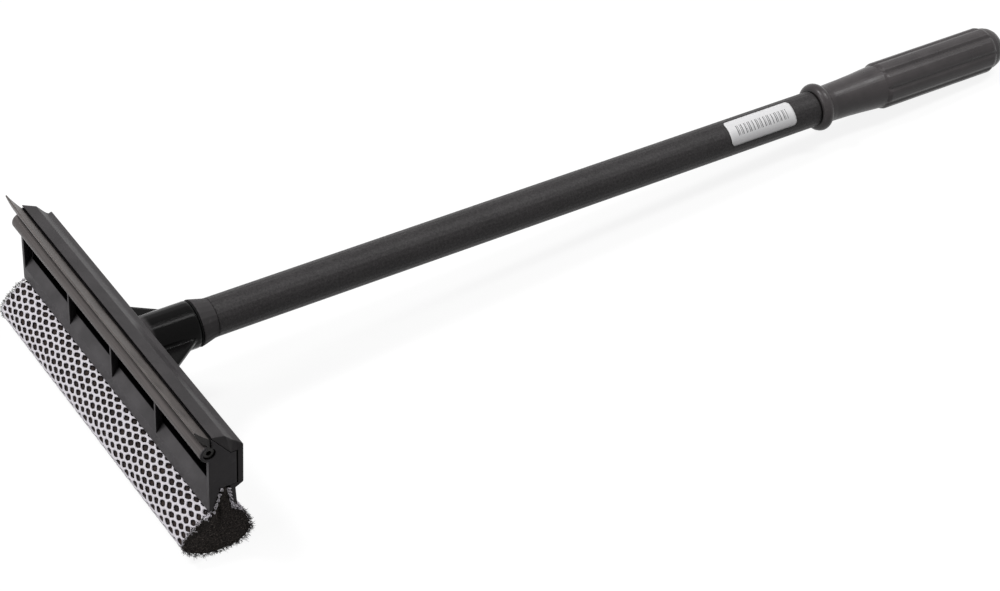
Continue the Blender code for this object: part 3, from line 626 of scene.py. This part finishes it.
def grip_plastic(colour, roughness):
    """Moulded grip plastic: fine grain, paler on the rubbed ridges, painted shade in the grooves."""
    made = Finish("grip_plastic", colour, roughness, 0.28)
    clouds = made.noise(60, 4)
    rubbing = made.noise(300, 3, 0.6, made.stretched(0.12, 1.0, 1.0))
    worn = made.product(made.edges(0.0008), made.remap(made.noise(150, 3), 0.42, 0.6), 0.45)
    shade = made.clouded(clouds, 0.34, 0.68, dark=0.86, pale=1.16)
    shade = made.marked(shade, rubbing, 0.60, 0.75, tone=1.8, most=0.35)
    shade = made.mix(worn, shade, tinted(colour, 2.2))
    rough = made.remap(clouds, 0.3, 0.7, roughness - 0.05, roughness + 0.08)
    normal = made.bump(made.noise(3600, 2), 0.00005, 0.40, made.rounded(FACET_ROUNDING))
    # painted shade in the grooves and other recesses
    return made.finish(made.painted_recess_shade(shade, 0.006, 0.90, 0.93, 0.62), rough, normal)


def brushed_steel(colour):
    """Zinc-plated screw steel, with fine turned lines and dulled patches."""
    made = Finish("screw_steel", colour, 0.34, 0.5, Metallic=1.0)
    lines = made.noise(2600, 2, 0.5, made.stretched(1.0, 1.0, 0.1))
    patches = made.noise(500, 3)
    shade = made.clouded(lines, 0.35, 0.7, dark=0.82, pale=1.06)
    shade = made.marked(shade, patches, 0.52, 0.75, tone=0.5, most=0.5)
    rough = made.remap(patches, 0.3, 0.7, 0.26, 0.48)
    return made.finish(shade, rough, made.bump(lines, 0.00003, 0.4))


def label_paper(paper, ink):
    """White label paper with a field of plain grey bars and a few soiled patches."""
    made = Finish("label_paper", paper, 0.48, 0.40)
    place = made.node("ShaderNodeSeparateXYZ", Vector=made.node("ShaderNodeUVMap").outputs[0])
    along, around = place.outputs[0], place.outputs[1]
    printed = [
        made.math("LESS_THAN", made.math("FRACT", made.product(along, count)), share)
        for count, share in ((17.0, 0.62), (41.0, 0.56))
    ]
    for part, low, high in ((along, 0.10, 0.90), (around, 0.30, 0.68)):
        printed += [made.math("GREATER_THAN", part, low), made.math("LESS_THAN", part, high)]
    printed.append(made.remap(made.noise(700, 3), 0.3, 0.7, 0.80, 1.0))
    fibres = made.noise(1400, 4, 0.6)
    stock = made.clouded(fibres, 0.3, 0.7, dark=0.95, pale=1.02)
    stock = made.marked(stock, made.noise(90, 3), 0.60, 0.80, tone=0.78, most=0.25)
    shade = made.mix(made.product(*printed), stock, tinted(ink, 1.0))
    return made.finish(shade, None, made.bump(fibres, 0.00003, 0.4))


def length(name, description, default):
    """A setting that is a length in metres."""
    return FloatProperty(name=name, description=description, default=default, unit="LENGTH")


def power(name, description, default):
    """A setting that is a lamp's power in watts."""
    return FloatProperty(name=name, description=description, default=default, unit="POWER")


def colour(name, description, default):
    """A setting that is a colour."""
    return FloatVectorProperty(name=name, description=description, default=default, subtype="COLOR")


class SqueegeeNetSettings(bpy.types.PropertyGroup):
    """Sizes of the knitted net and its frayed ends."""

    columns: IntProperty(name="Columns", description="Openings along the head", default=44, min=4)
    rows: IntProperty(name="Rows", description="Openings round the sponge", default=30, min=4)
    opening: FloatProperty(
        name="Opening", description="Share of a mesh that is open", default=0.74,
        subtype="FACTOR", min=0.2, max=0.9,
    )
    thread: length("Thread", "Thickness of the knit", 0.0009)
    lift: length("Lift", "Middle of the knit above the foam", 0.00057)
    slack: length("Slack", "How far the knit strays", 0.00032)
    yarn: colour("Yarn colour", "Colour of the yarn", (0.88, 0.845, 0.90))
    frays: IntProperty(name="Frays", description="Loose yarn ends at a cut end", default=230, min=0)
    fray_length: length("Fray length", "Longest loose yarn end", 0.0034)


class SqueegeeFoamSettings(bpy.types.PropertyGroup):
    """Sizes of the foam inside the net."""

    grain: length("Grain", "Spacing of points on the cut ends", 0.00055)
    ring: length("Ring", "Spacing of points round the sides", 0.0010)
    pore: length("Pores", "Depth of the open pores", 0.00042)
    bulge: length("Bulge", "How far foam fills an opening", 0.00035)
    crease: length("Crease", "Depth of the fold at the cut ends", 0.0013)
    rounding: length("Rounding", "Rounding of the cut ends", 0.0016)
    fuzz: IntProperty(name="Fuzz", description="Dark fibres round each cut end", default=900, min=0)
    fuzz_length: length("Fuzz length", "Longest fibre", 0.0019)
    foam: colour("Foam colour", "Colour of the foam", (0.077, 0.066, 0.061))


class SqueegeeFinishSettings(bpy.types.PropertyGroup):
    """Colours of the rigid pieces and of the blade."""

    cover: colour("Cover", "Colour of the cover", (0.059, 0.055, 0.057))
    core: colour("Core", "Colour of the core", (0.086, 0.0815, 0.085))
    # the channel's own warm tone, partly a painted sheen over it
    lobe_tone_and_sheen: colour("Channel", "Colour of the polished channel", (0.128, 0.115, 0.112))
    blade: colour("Blade", "Colour of the rubber blade", (0.106, 0.094, 0.090))
    collar: colour("Collar", "Colour of the collar", (0.058, 0.0545, 0.056))
    tube: colour("Tube", "Colour of the painted tube", (0.032, 0.0296, 0.0304))
    grip: colour("Grip", "Colour of the grip", (0.0545, 0.048, 0.0495))


class SqueegeeLabelSettings(bpy.types.PropertyGroup):
    """Size and place of the paper label on the tube."""

    start: length("Start", "Near end along the shaft", 0.3592)
    extent: length("Length", "Length along the shaft", 0.0461)
    width: length("Width", "Width round the tube", 0.0156)
    turn: FloatProperty(
        name="Turn", description="Middle of the label, from the top towards the camera",
        default=math.radians(37), unit="ROTATION",
    )
    corner: length("Corner", "Rounding of the corners", 0.0020)
    paper: length("Paper", "Thickness of the paper", 0.00012)


class SqueegeeStudioSettings(bpy.types.PropertyGroup):
    """Camera and light levels."""

    lens: FloatProperty(name="Lens", description="Focal length", default=87.88, unit="CAMERA")
    floor: length("Floor", "Width of the floor", 14.0)
    sky: FloatProperty(name="Sky", description="Strength of the even light", default=0.075, min=0.0)
    key: power("Key", "Power of the lamp above the head", 16.0)
    front: power("Front", "Power of the lamp before the head", 8.0)
    top: power("Top", "Power of the lamp above the handle", 13.5)


def net_layout(settings, wrap):
    """Step along the head, step round the wrap and first middle of the net's openings."""
    half_length = (NET_HIGH.y - NET_LOW.y) / 2 - NET_END_GAP
    step = 2 * half_length / (settings.columns - 1 + 4 / 3)
    rise = wrap.length / (settings.rows + 0.5)
    return step, rise, -half_length + step * 2 / 3


def place_key(*values):
    """A place rounded to a thousandth of a millimetre, for finding it again."""
    return tuple(round(value * 1e6) for value in values)


def stray(along, around, amount):
    """How far the knit strays at a place: a smooth wander along the head and round the wrap."""
    wide = noise.noise_vector(Vector((along * 62, around * 62, 3.1)))
    fine = noise.noise_vector(Vector((along * 240, around * 240, 9.7)))
    return (wide.x * 1.8 + fine.x) * amount, (wide.y * 1.8 + fine.y) * amount


class SQUEEGEE_OT_foam(bpy.types.Operator):
    """Make the foam body of the sponge, with open pores and a fold at its cut ends."""

    bl_idname = "squeegee.foam"
    bl_label = "Foam"

    def execute(self, context):
        settings = context.scene.squeegee_foam
        outline = sponge_outline()
        wrap = Wrap(open_wrap(outline), WRAP_STEP)
        layout = net_layout(context.scene.squeegee_net, wrap)
        closed = Wrap(outline + [outline[0]], settings.ring)
        ring = [Vector(point) for point in closed.points[:-1]]
        outward = [Vector(normal) for normal in closed.normals[:-1]]
        tree = point_tree(wrap.points)
        places = [wrap.places[tree.find((point.x, point.y, 0))[1]] for point in ring]
        middle = (sum(ring, Vector((0, 0))) / len(ring)).x
        count = len(ring)
        length = SPONGE_HIGH.y - SPONGE_LOW.y
        stations = int(length / (settings.ring * 1.25))
        swollen_below = max(point.y for point in ring) - NECK_HEIGHT
        inset = settings.rounding
        margin = inset * 0.35
        points = []
        for station in range(stations + 1):
            across = SPONGE_LOW.y + margin + (length - 2 * margin) * station / stations
            edge = min(across - SPONGE_LOW.y, SPONGE_HIGH.y - across)
            drawn = (1 - edge / inset) ** 2 * inset * 0.45 if edge < inset else 0.0
            for point, out, place in zip(ring, outward, places):
                swell = 0.0
                if point.y <= swollen_below:
                    swell = self.swell(layout, across, place, settings.bulge)
                texture = noise.noise(Vector((point.x, across, point.y)) * 900) * 0.00010
                wall = point + out * (swell + texture) - out * drawn
                points.append(Vector((wall.x, across, wall.y)))
        faces = wall_faces(stations + 1, count)
        for side, first in ((-1, 0), (1, stations * count)):
            close_end(points, faces, first, count, side, middle, settings)
        finish = open_foam(settings.foam)
        foam = add_piece("foam", points, faces, finish, "head", "sponge_foam")
        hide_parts("sponge")
        add_fuzz(settings, wrap, finish)
        return {"FINISHED"}

    @staticmethod
    def swell(layout, across, place, bulge):
        """How far the foam stands out: pressed under the yarns, bulging in the openings."""
        step, rise, first = layout
        column = (across - first) / step
        nearest = round(column)
        best = 9.0
        for trial in (nearest - 1, nearest, nearest + 1):
            row = place / rise - 0.5 - (0.5 if trial % 2 else 0.0)
            offset = (row - round(row)) * rise
            best = min(best, math.hypot((column - trial) * step, offset))
        return bulge * math.exp(-((best / (rise * 0.30)) ** 2))


def close_end(points, faces, first, count, side, middle, settings):
    """Close one end of the foam with a fine, pitted face that has a fold down its middle."""
    rim = [Vector((point.x, point.z)) for point in points[first:first + count]]
    xs = [point.x for point in rim]
    zs = [point.y for point in rim]
    top = max(zs)
    neck = (top - min(zs)) * 0.55
    edge = SPONGE_LOW.y if side < 0 else SPONGE_HIGH.y
    rounding = settings.rounding
    tree = point_tree(rim)
    rng = random.Random(SEED + side)
    jitter = 0.2
    grid = []
    row = 0
    z = min(zs)
    while z < top:
        x = min(xs) + (settings.grain / 2 if row % 2 else 0)
        while x < max(xs):
            if tree.find((x, z, 0))[2] > settings.grain * 0.6:
                grid.append(Vector((
                    x + rng.uniform(-jitter, jitter) * settings.grain,
                    z + rng.uniform(-jitter, jitter) * settings.grain,
                )))
            x += settings.grain
        z += settings.grain * 0.866
        row += 1

    def depth(place, away):
        """How far a place on the cut face lies back: the rounded rim, the pores and the fold."""
        rounded = rounding - math.sqrt(max(rounding ** 2 - (rounding - away) ** 2, 0))
        cell, rough, broad = (
            find(Vector((place.x * scale, place.y * scale, side * layer)))
            for find, scale, layer in (
                (noise.cell, 1500, 7.0), (noise.noise, 1300, 5.0), (noise.noise, 160, 2.0)
            )
        )
        pits = settings.pore * (max(rough, 0) * 1.1 + (0.55 if cell > 0.72 else 0.0))
        pits += broad * 0.0004
        fold_line = middle + 0.0006 * math.sin(place.y * 260)
        reach = min(max((place.y - (top - neck)) / (neck * 0.25), 0.0), 1.0)
        fold = settings.crease * reach * math.exp(-(((place.x - fold_line) / 0.0009) ** 2))
        return max(rounded * 0.65 + (pits + fold) * min(away / rounding, 1.0), 0.0)

    border = [(index, (index + 1) % count) for index in range(count)]
    placed, _, made, origins, _, _ = delaunay_2d_cdt(rim + grid, border, [], 1, 1e-7)
    numbers = []
    for place, origin in zip(placed, origins):
        if origin and origin[0] < count:
            numbers.append(first + origin[0])
            continue
        away = min(tree.find((place.x, place.y, 0))[2], rounding)
        numbers.append(len(points))
        points.append(Vector((place.x, edge - side * depth(place, away), place.y)))
    faces.extend(tuple(numbers[corner] for corner in face) for face in made)


def add_fuzz(settings, wrap, finish):
    """Dark fibres and foam crumbs that stand off the rims of the sponge's cut ends."""
    for name, edge, side in (("fuzz_near", SPONGE_LOW.y, -1), ("fuzz_far", SPONGE_HIGH.y, 1)):
        rng = random.Random(SEED * 5 + side)
        parts = []
        for _ in range(settings.fuzz):
            place = rng.uniform(0.16, 0.86) * wrap.length
            base = Vector(wrap.at(place, rng.uniform(-0.0004, 0.0010)))
            out = (Vector(wrap.at(place, 0.02)) - Vector(wrap.at(place, 0.0))).to_3d().normalized()
            start = Vector((base.x, edge - side * rng.uniform(0.0, 0.0016), base.y))
            heading = Vector((out.x, 0, out.y)) * rng.uniform(0.3, 1.0)
            heading += Vector((0, side, 0)) * rng.uniform(0.1, 0.9)
            heading += Vector((-out.y, 0, out.x)) * rng.uniform(-0.8, 0.8)
            heading.normalize()
            reach = settings.fuzz_length * rng.uniform(0.2, 1.0) ** 1.5
            bend = Vector([rng.uniform(-0.4, 0.4) for axis in range(3)])
            line = [
                start + (heading * share + bend * share * share) * reach
                for share in (0.0, 0.35, 0.7, 1.0)
            ]
            thickness = rng.uniform(0.00006, 0.00014)
            parts.append(fibre(line, [thickness, thickness, thickness * 0.8, thickness * 0.5]))
        add_piece(name, *gather(parts), finish, "head", "sponge_foam")


class SQUEEGEE_OT_net(bpy.types.Operator):
    """Knit the net round the sponge, one rounded six-sided opening after another."""

    bl_idname = "squeegee.net"
    bl_label = "Net"

    def execute(self, context):
        settings = context.scene.squeegee_net
        wrap = Wrap(open_wrap(sponge_outline()), WRAP_STEP)
        points, faces = self.knit(settings, wrap)
        finish = net_yarn(settings.yarn)
        piece = add_piece("net_knit", points, faces, finish, "head", "net_yarn")
        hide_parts("net")
        frays = add_frays(settings, wrap, finish)
        return {"FINISHED"}

    @staticmethod
    def knit(settings, wrap):
        """The knit's points and faces: round each opening a rim, a shoulder and a shared crest."""
        step, rise, first = net_layout(settings, wrap)
        rng = random.Random(SEED)
        noise.seed_set(SEED)
        half = settings.thread / 2
        numbers = {}
        points = []
        faces = []

        def around_mesh(along, around, reach, angle):
            """A place at a reach and an angle from the middle of a six-sided mesh."""
            return (
                along + math.cos(angle) * reach * step / 1.5,
                around + math.sin(angle) * reach * rise / math.sqrt(3),
            )

        def vertex(place, height):
            """The number of the point at a place in the knit, made when it is first used."""
            key = place_key(*place, height)
            if key not in numbers:
                shift = stray(*place, settings.slack)
                around = min(max(place[1] + shift[1], 0.0), wrap.length)
                x, z = wrap.at(around, settings.lift + height)
                before, after = (wrap.length * share for share in HEM_SHARES)
                drawn = HEM_INSET * (around < before or around > after)
                y = min(max(place[0] + shift[0], NET_LOW.y + drawn), NET_HIGH.y - drawn)
                numbers[key] = len(points)
                points.append(Vector((x, y, max(z, NET_LOW.z))))
            return numbers[key]

        middles = [
            (first + column * step, (row + 0.5 + (0.5 if column % 2 else 0.0)) * rise)
            for column in range(settings.columns) for row in range(settings.rows)
        ]
        borders = [
            [
                around_mesh(*middle, 1.0 if index % 2 == 0 else math.cos(math.pi / 6),
                            math.tau * index / HEX_STEPS)
                for index in range(HEX_STEPS)
            ]
            for middle in middles
        ]
        uses = Counter(place_key(*place) for border in borders for place in border)
        for middle, border in zip(middles, borders):
            size = settings.opening * rng.uniform(*SIZE_RANGE)
            lean = rng.uniform(-LEAN, LEAN)
            rings = []
            for index, edge in enumerate(border):
                corner = index % 2 == 0
                whole = uses[place_key(*edge)] >= (3 if corner else 2)
                crest = half * (1.0 if corner else SIDE_CREST) if whole else 0.0
                swell = half * (SHOULDER_RISE if whole else OUTER_RISE)
                angle = math.tau * index / HEX_STEPS + lean
                hole = around_mesh(*middle, size * RIM_REACH[index], angle)
                shoulder = tuple(
                    low + (high - low) * SHOULDER_SHARE for low, high in zip(hole, edge)
                )
                layers = (
                    (edge, crest), (shoulder, swell), (hole, 0.0), (shoulder, -swell), (edge, -crest)
                )
                rings.append([vertex(place, height) for place, height in layers])
            for here, onward in zip(rings, rings[1:] + rings[:1]):
                for layer in range(len(layers) - 1):
                    faces.append((here[layer], onward[layer], onward[layer + 1], here[layer + 1]))
        return points, faces


def add_frays(settings, wrap, finish):
    """Loose yarn ends at the net's two cut ends, and the bunched edge that shows in the jaws."""
    pieces = []
    for name, edge, side in (("frays_near", NET_LOW.y, -1), ("frays_far", NET_HIGH.y, 1)):
        rng = random.Random(SEED * 3 + side)
        parts = []
        tidy = 1.0 if side < 0 else 0.12
        for number in range(int(settings.frays * tidy)):
            places = (rng.uniform(0.13, 0.87), rng.gauss(0.848, 0.012), rng.uniform(0.14, 0.30))
            place = places[number % 3] * wrap.length
            reach = rng.uniform(0.25, 1.0) ** 1.6 * settings.fray_length * tidy
            x, z = wrap.at(place, settings.lift + rng.uniform(-0.3, 0.3) * settings.thread)
            out_x, out_z = wrap.at(place, 0.02)
            outward = Vector((out_x - x, 0, out_z - z)).normalized()
            tangent = outward.cross(Vector((0, side, 0)))
            start = Vector((x, edge - side * rng.uniform(0.0002, 0.0012), z))
            heading = Vector((0, side, 0)) * rng.uniform(0.2, 0.9) + outward * rng.uniform(0.1, 0.9)
            heading += tangent * rng.uniform(-0.9, 0.9)
            heading.normalize()
            bend = Vector([rng.uniform(-1, 1) for axis in range(3)])
            shares = [index / 4 for index in range(5)]
            line = [
                start + heading * (reach * share) + bend * (reach * 0.35 * share * share)
                for share in shares
            ]
            thickness = rng.uniform(0.00006, 0.00013)
            parts.append(fibre(line, [thickness * (1 - 0.5 * share) for share in shares]))
        for span in ((0.0, 0.17), (0.83, 1.0)):
            parts.extend(bunched_edge(settings, wrap, edge, side, span, rng))
        pieces.append(add_piece(name, *gather(parts), finish, "head", "net_yarn"))
    return pieces


def bunched_edge(settings, wrap, edge, side, span, rng):
    """Loops of yarn at the net's cut end where it runs up between a jaw and the sponge."""
    parts = []
    place = span[0] * wrap.length + 0.0006
    end = span[1] * wrap.length - 0.0006
    while place < end:
        loop = []
        width = rng.uniform(0.0005, 0.0010)
        rise = rng.uniform(0.0010, 0.0019)
        turn = rng.uniform(0, math.tau)
        for step in range(9):
            angle = math.tau * step / 8 + turn
            around = min(max(place + math.cos(angle) * rise * 0.6, 0.0), wrap.length)
            x, z = wrap.at(around, settings.lift + math.sin(angle) * width * 0.8)
            depth = -0.0003 + 0.0005 * math.cos(2 * angle + turn)
            loop.append(Vector((x, edge - side * depth, z)))
        radius = rng.uniform(0.00022, 0.00042)
        parts.append(strand(loop, [radius] * len(loop), 6))
        place += rng.uniform(0.0014, 0.0032)
    return parts


class SQUEEGEE_OT_label(bpy.types.Operator):
    """Lay the paper label round the tube, with its plain printed bars."""

    bl_idname = "squeegee.label"
    bl_label = "Label"

    def execute(self, context):
        settings = context.scene.squeegee_label
        low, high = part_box("tube")
        radius = (high.y - low.y) / 2
        half_length = settings.extent / 2
        half_width = settings.width / 2
        middle = settings.start + half_length
        corner = settings.corner
        points = []
        places = []
        for lift in (LABEL_LIFT, LABEL_LIFT + settings.paper):
            for column in range(LABEL_COLUMNS + 1):
                along = -half_length + settings.extent * column / LABEL_COLUMNS
                inset = 0.0
                overshoot = abs(along) - (half_length - corner)
                if overshoot > 0:
                    inset = corner - math.sqrt(max(corner ** 2 - overshoot ** 2, 0))
                for row in range(LABEL_ROWS + 1):
                    share = row / LABEL_ROWS * 2 - 1
                    around = share * (half_width - inset)
                    angle = settings.turn + around / radius
                    beyond = max(abs(along) / half_length - CURL_START, 0)
                    curl = LABEL_CURL * beyond / CURL_SPAN * abs(share)
                    reach = radius + lift + curl
                    aside, up = -math.sin(angle) * reach, math.cos(angle) * reach
                    points.append(tool_point(middle + along, aside, up))
                    places.append((0.5 + along / settings.extent, 0.5 + around / settings.width))
        label = add_piece("label", points, self.faces(), label_paper(PAPER, INK), "handle")
        layer = label.data.uv_layers.new(name="label")
        for loop in label.data.loops:
            layer.data[loop.index].uv = places[loop.vertex_index]
        return {"FINISHED"}

    @staticmethod
    def faces():
        """The faces of the label's underside, its top and the thin rim between them."""
        line = LABEL_ROWS + 1
        size = (LABEL_COLUMNS + 1) * line
        last = LABEL_COLUMNS * line
        faces = []
        for column in range(LABEL_COLUMNS):
            for near in range(column * line, column * line + LABEL_ROWS):
                far = near + line
                faces.append((near, far, far + 1, near + 1))
                faces.append((size + near, size + near + 1, size + far + 1, size + far))
        rim = list(range(line))
        rim += range(line + LABEL_ROWS, last + line, line)
        rim += range(last + LABEL_ROWS - 1, last - 1, -1)
        rim += range(last - line, 0, -line)
        for here, onward in zip(rim, rim[1:] + rim[:1]):
            faces.append((here, onward, size + onward, size + here))
        return faces


class SQUEEGEE_OT_head(bpy.types.Operator):
    """Give the cover and the core their moulded finish, with the polished socket and channel."""

    bl_idname = "squeegee.head"
    bl_label = "Cover and core"

    def execute(self, context):
        colours = context.scene.squeegee_finishes
        socket_polish = (socket_zone, 0.15, tinted(colours.cover, 0.06))
        coat(["cover"], moulded_plastic("cover_plastic", colours.cover, 0.40, 0.07, socket_polish))
        # the channel's colour is partly a painted sheen, and the pocket backs are painted black as
        # shadow
        coat(["core"], moulded_plastic(
            "core_plastic", colours.core, 0.44, 0.07, (lobe_zone, 0.32, colours.lobe_tone_and_sheen), pocket_shadow_zone
        ))
        return {"FINISHED"}


class SQUEEGEE_OT_screws(bpy.types.Operator):
    """Give the clamp screws their plated steel."""

    bl_idname = "squeegee.screws"
    bl_label = "Clamp screws"

    def execute(self, context):
        coat([name for name in NODES if name.startswith("clamp_screw")], brushed_steel(STEEL))
        return {"FINISHED"}


class SQUEEGEE_OT_blade(bpy.types.Operator):
    """Give the wiping blade its rubber."""

    bl_idname = "squeegee.blade"
    bl_label = "Blade"

    def execute(self, context):
        coat(["blade"], blade_rubber(context.scene.squeegee_finishes.blade, 0.42))
        return {"FINISHED"}


class SQUEEGEE_OT_handle(bpy.types.Operator):
    """Give the washer, the screwed tip, the tube and the grip their finishes."""

    bl_idname = "squeegee.handle"
    bl_label = "Handle"

    def execute(self, context):
        colours = context.scene.squeegee_finishes
        coat(["washer"], moulded_plastic("washer_rubber", WASHER_BLACK, 0.70, 0.08))
        coat(["handle_tip"], moulded_plastic(
            "collar_plastic", colours.collar, 0.58, 0.10, ridges=(thread_ridges, 0.0011)
        ))
        coat(["tube"], wrinkled_paint(colours.tube, 0.42))
        coat(["grip"], grip_plastic(colours.grip, 0.32))
        return {"FINISHED"}


class SQUEEGEE_OT_studio(bpy.types.Operator):
    """Set the floor, the soft light and the camera."""

    bl_idname = "squeegee.studio"
    bl_label = "Studio"

    def execute(self, context):
        settings = context.scene.squeegee_studio
        scene = context.scene
        scene.view_settings.view_transform = "Standard"
        self.floor(settings)
        self.sky(scene, settings)
        self.lamps(settings)
        self.camera(scene, settings)
        return {"FINISHED"}

    @staticmethod
    def seen_directly(tree):
        """1 for rays from the camera, off gloss or through glass, and 0 for light on the tool."""
        rays = add_node(tree, "ShaderNodeLightPath").outputs
        most = {"operation": "MAXIMUM"}
        total = rays["Is Camera Ray"]
        for name in ("Is Glossy Ray", "Is Transmission Ray"):
            total = add_node(tree, "ShaderNodeMath", most, i0=total, i1=rays[name]).outputs[0]
        return total

    def floor(self, settings):
        """A wide floor that looks white and still takes the tool's shadow."""
        half = settings.floor / 2
        corners = [(-half, -half, 0), (half, -half, 0), (half, half, 0), (-half, half, 0)]
        mesh = bpy.data.meshes.new("floor")
        mesh.from_pydata(corners, [], [(0, 1, 2, 3)])
        made = bpy.data.materials.new("studio_floor")
        made.use_nodes = True
        tree = made.node_tree
        tree.nodes.clear()
        share = {"operation": "MULTIPLY"}
        level = add_node(tree, "ShaderNodeMath", share, i0=self.seen_directly(tree), i1=FLOOR_GLOW)
        glow = add_node(tree, "ShaderNodeEmission", Color=WHITE, Strength=level.outputs[0])
        diffuse = add_node(tree, "ShaderNodeBsdfDiffuse", Color=FLOOR_GREY)
        total = add_node(tree, "ShaderNodeAddShader", i0=diffuse.outputs[0], i1=glow.outputs[0])
        add_node(tree, "ShaderNodeOutputMaterial", Surface=total.outputs[0])
        mesh.materials.append(made)
        plane = bpy.data.objects.new("floor", mesh)
        bpy.context.scene.collection.objects.link(plane)

    def sky(self, scene, settings):
        """Faint even light on the tool, and full white where the sky is seen directly."""
        world = bpy.data.worlds.new("studio_sky")
        scene.world = world
        world.use_nodes = True
        tree = world.node_tree
        light = tree.nodes["Background"]
        light.inputs["Color"].default_value = WHITE
        light.inputs["Strength"].default_value = settings.sky
        white = add_node(tree, "ShaderNodeBackground", Color=WHITE)
        mixer = add_node(
            tree, "ShaderNodeMixShader",
            i0=self.seen_directly(tree), i1=light.outputs[0], i2=white.outputs[0],
        )
        tree.links.new(mixer.outputs[0], tree.nodes["World Output"].inputs["Surface"])

    def lamps(self, settings):
        """The soft lamps above and before the tool."""
        for name, power, size, place, target in LAMPS:
            light = bpy.data.lights.new(name, "AREA")
            light.energy = getattr(settings, power)
            light.shape = "RECTANGLE"
            light.size, light.size_y = size
            lamp = bpy.data.objects.new(name, light)
            bpy.context.scene.collection.objects.link(lamp)
            lamp.location = place
            ahead = Vector(target) - Vector(place)
            lamp.rotation_euler = ahead.to_track_quat("-Z", "Y").to_euler()

    def camera(self, scene, settings):
        """The camera at the photograph's viewing angle."""
        data = bpy.data.cameras.new("photo_camera")
        data.lens = settings.lens
        data.sensor_width = 36.0
        data.clip_start = 0.01
        camera = bpy.data.objects.new("photo_camera", data)
        scene.collection.objects.link(camera)
        right, down, ahead = (
            tool_direction(*parts) for parts in (CAMERA_RIGHT, CAMERA_DOWN, CAMERA_AHEAD)
        )
        turn = Matrix((right, -down, -ahead)).transposed().to_4x4()
        camera.matrix_world = Matrix.Translation(tool_point(*CAMERA_PLACE)) @ turn
        scene.camera = camera


class SQUEEGEE_PT_panel(bpy.types.Panel):
    """Lists the steps that dress the squeegee, with their settings."""

    bl_idname = "SQUEEGEE_PT_panel"
    bl_label = "Squeegee"
    bl_space_type = "VIEW_3D"
    bl_region_type = "UI"
    bl_category = "Squeegee"

    def draw(self, context):
        for operator in OPERATORS:
            self.layout.operator(operator.bl_idname)
        for name in SETTINGS:
            group = getattr(context.scene, name)
            box = self.layout.box()
            for key in group.bl_rna.properties.keys():
                if key not in ("rna_type", "name"):
                    box.prop(group, key)


SETTINGS = {
    "squeegee_net": SqueegeeNetSettings,
    "squeegee_foam": SqueegeeFoamSettings,
    "squeegee_finishes": SqueegeeFinishSettings,
    "squeegee_label": SqueegeeLabelSettings,
    "squeegee_studio": SqueegeeStudioSettings,
}
OPERATORS = (
    SQUEEGEE_OT_studio,
    SQUEEGEE_OT_head,
    SQUEEGEE_OT_screws,
    SQUEEGEE_OT_blade,
    SQUEEGEE_OT_foam,
    SQUEEGEE_OT_net,
    SQUEEGEE_OT_handle,
    SQUEEGEE_OT_label,
)


def register():
    """Register the settings, the operators and the panel."""
    for name, group in SETTINGS.items():
        bpy.utils.register_class(group)
        setattr(bpy.types.Scene, name, PointerProperty(type=group))
    for operator in OPERATORS:
        bpy.utils.register_class(operator)
    bpy.utils.register_class(SQUEEGEE_PT_panel)


def unregister():
    """Take the panel, the operators and the settings away again."""
    bpy.utils.unregister_class(SQUEEGEE_PT_panel)
    for operator in reversed(OPERATORS):
        bpy.utils.unregister_class(operator)
    for name, group in reversed(SETTINGS.items()):
        delattr(bpy.types.Scene, name)
        bpy.utils.unregister_class(group)


def main():
    """Register the add-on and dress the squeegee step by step."""
    register()
    bpy.ops.squeegee.studio()
    bpy.ops.squeegee.head()
    bpy.ops.squeegee.screws()
    bpy.ops.squeegee.blade()
    bpy.ops.squeegee.foam()
    bpy.ops.squeegee.net()
    bpy.ops.squeegee.handle()
    bpy.ops.squeegee.label()


if __name__ == "__main__":
    main()
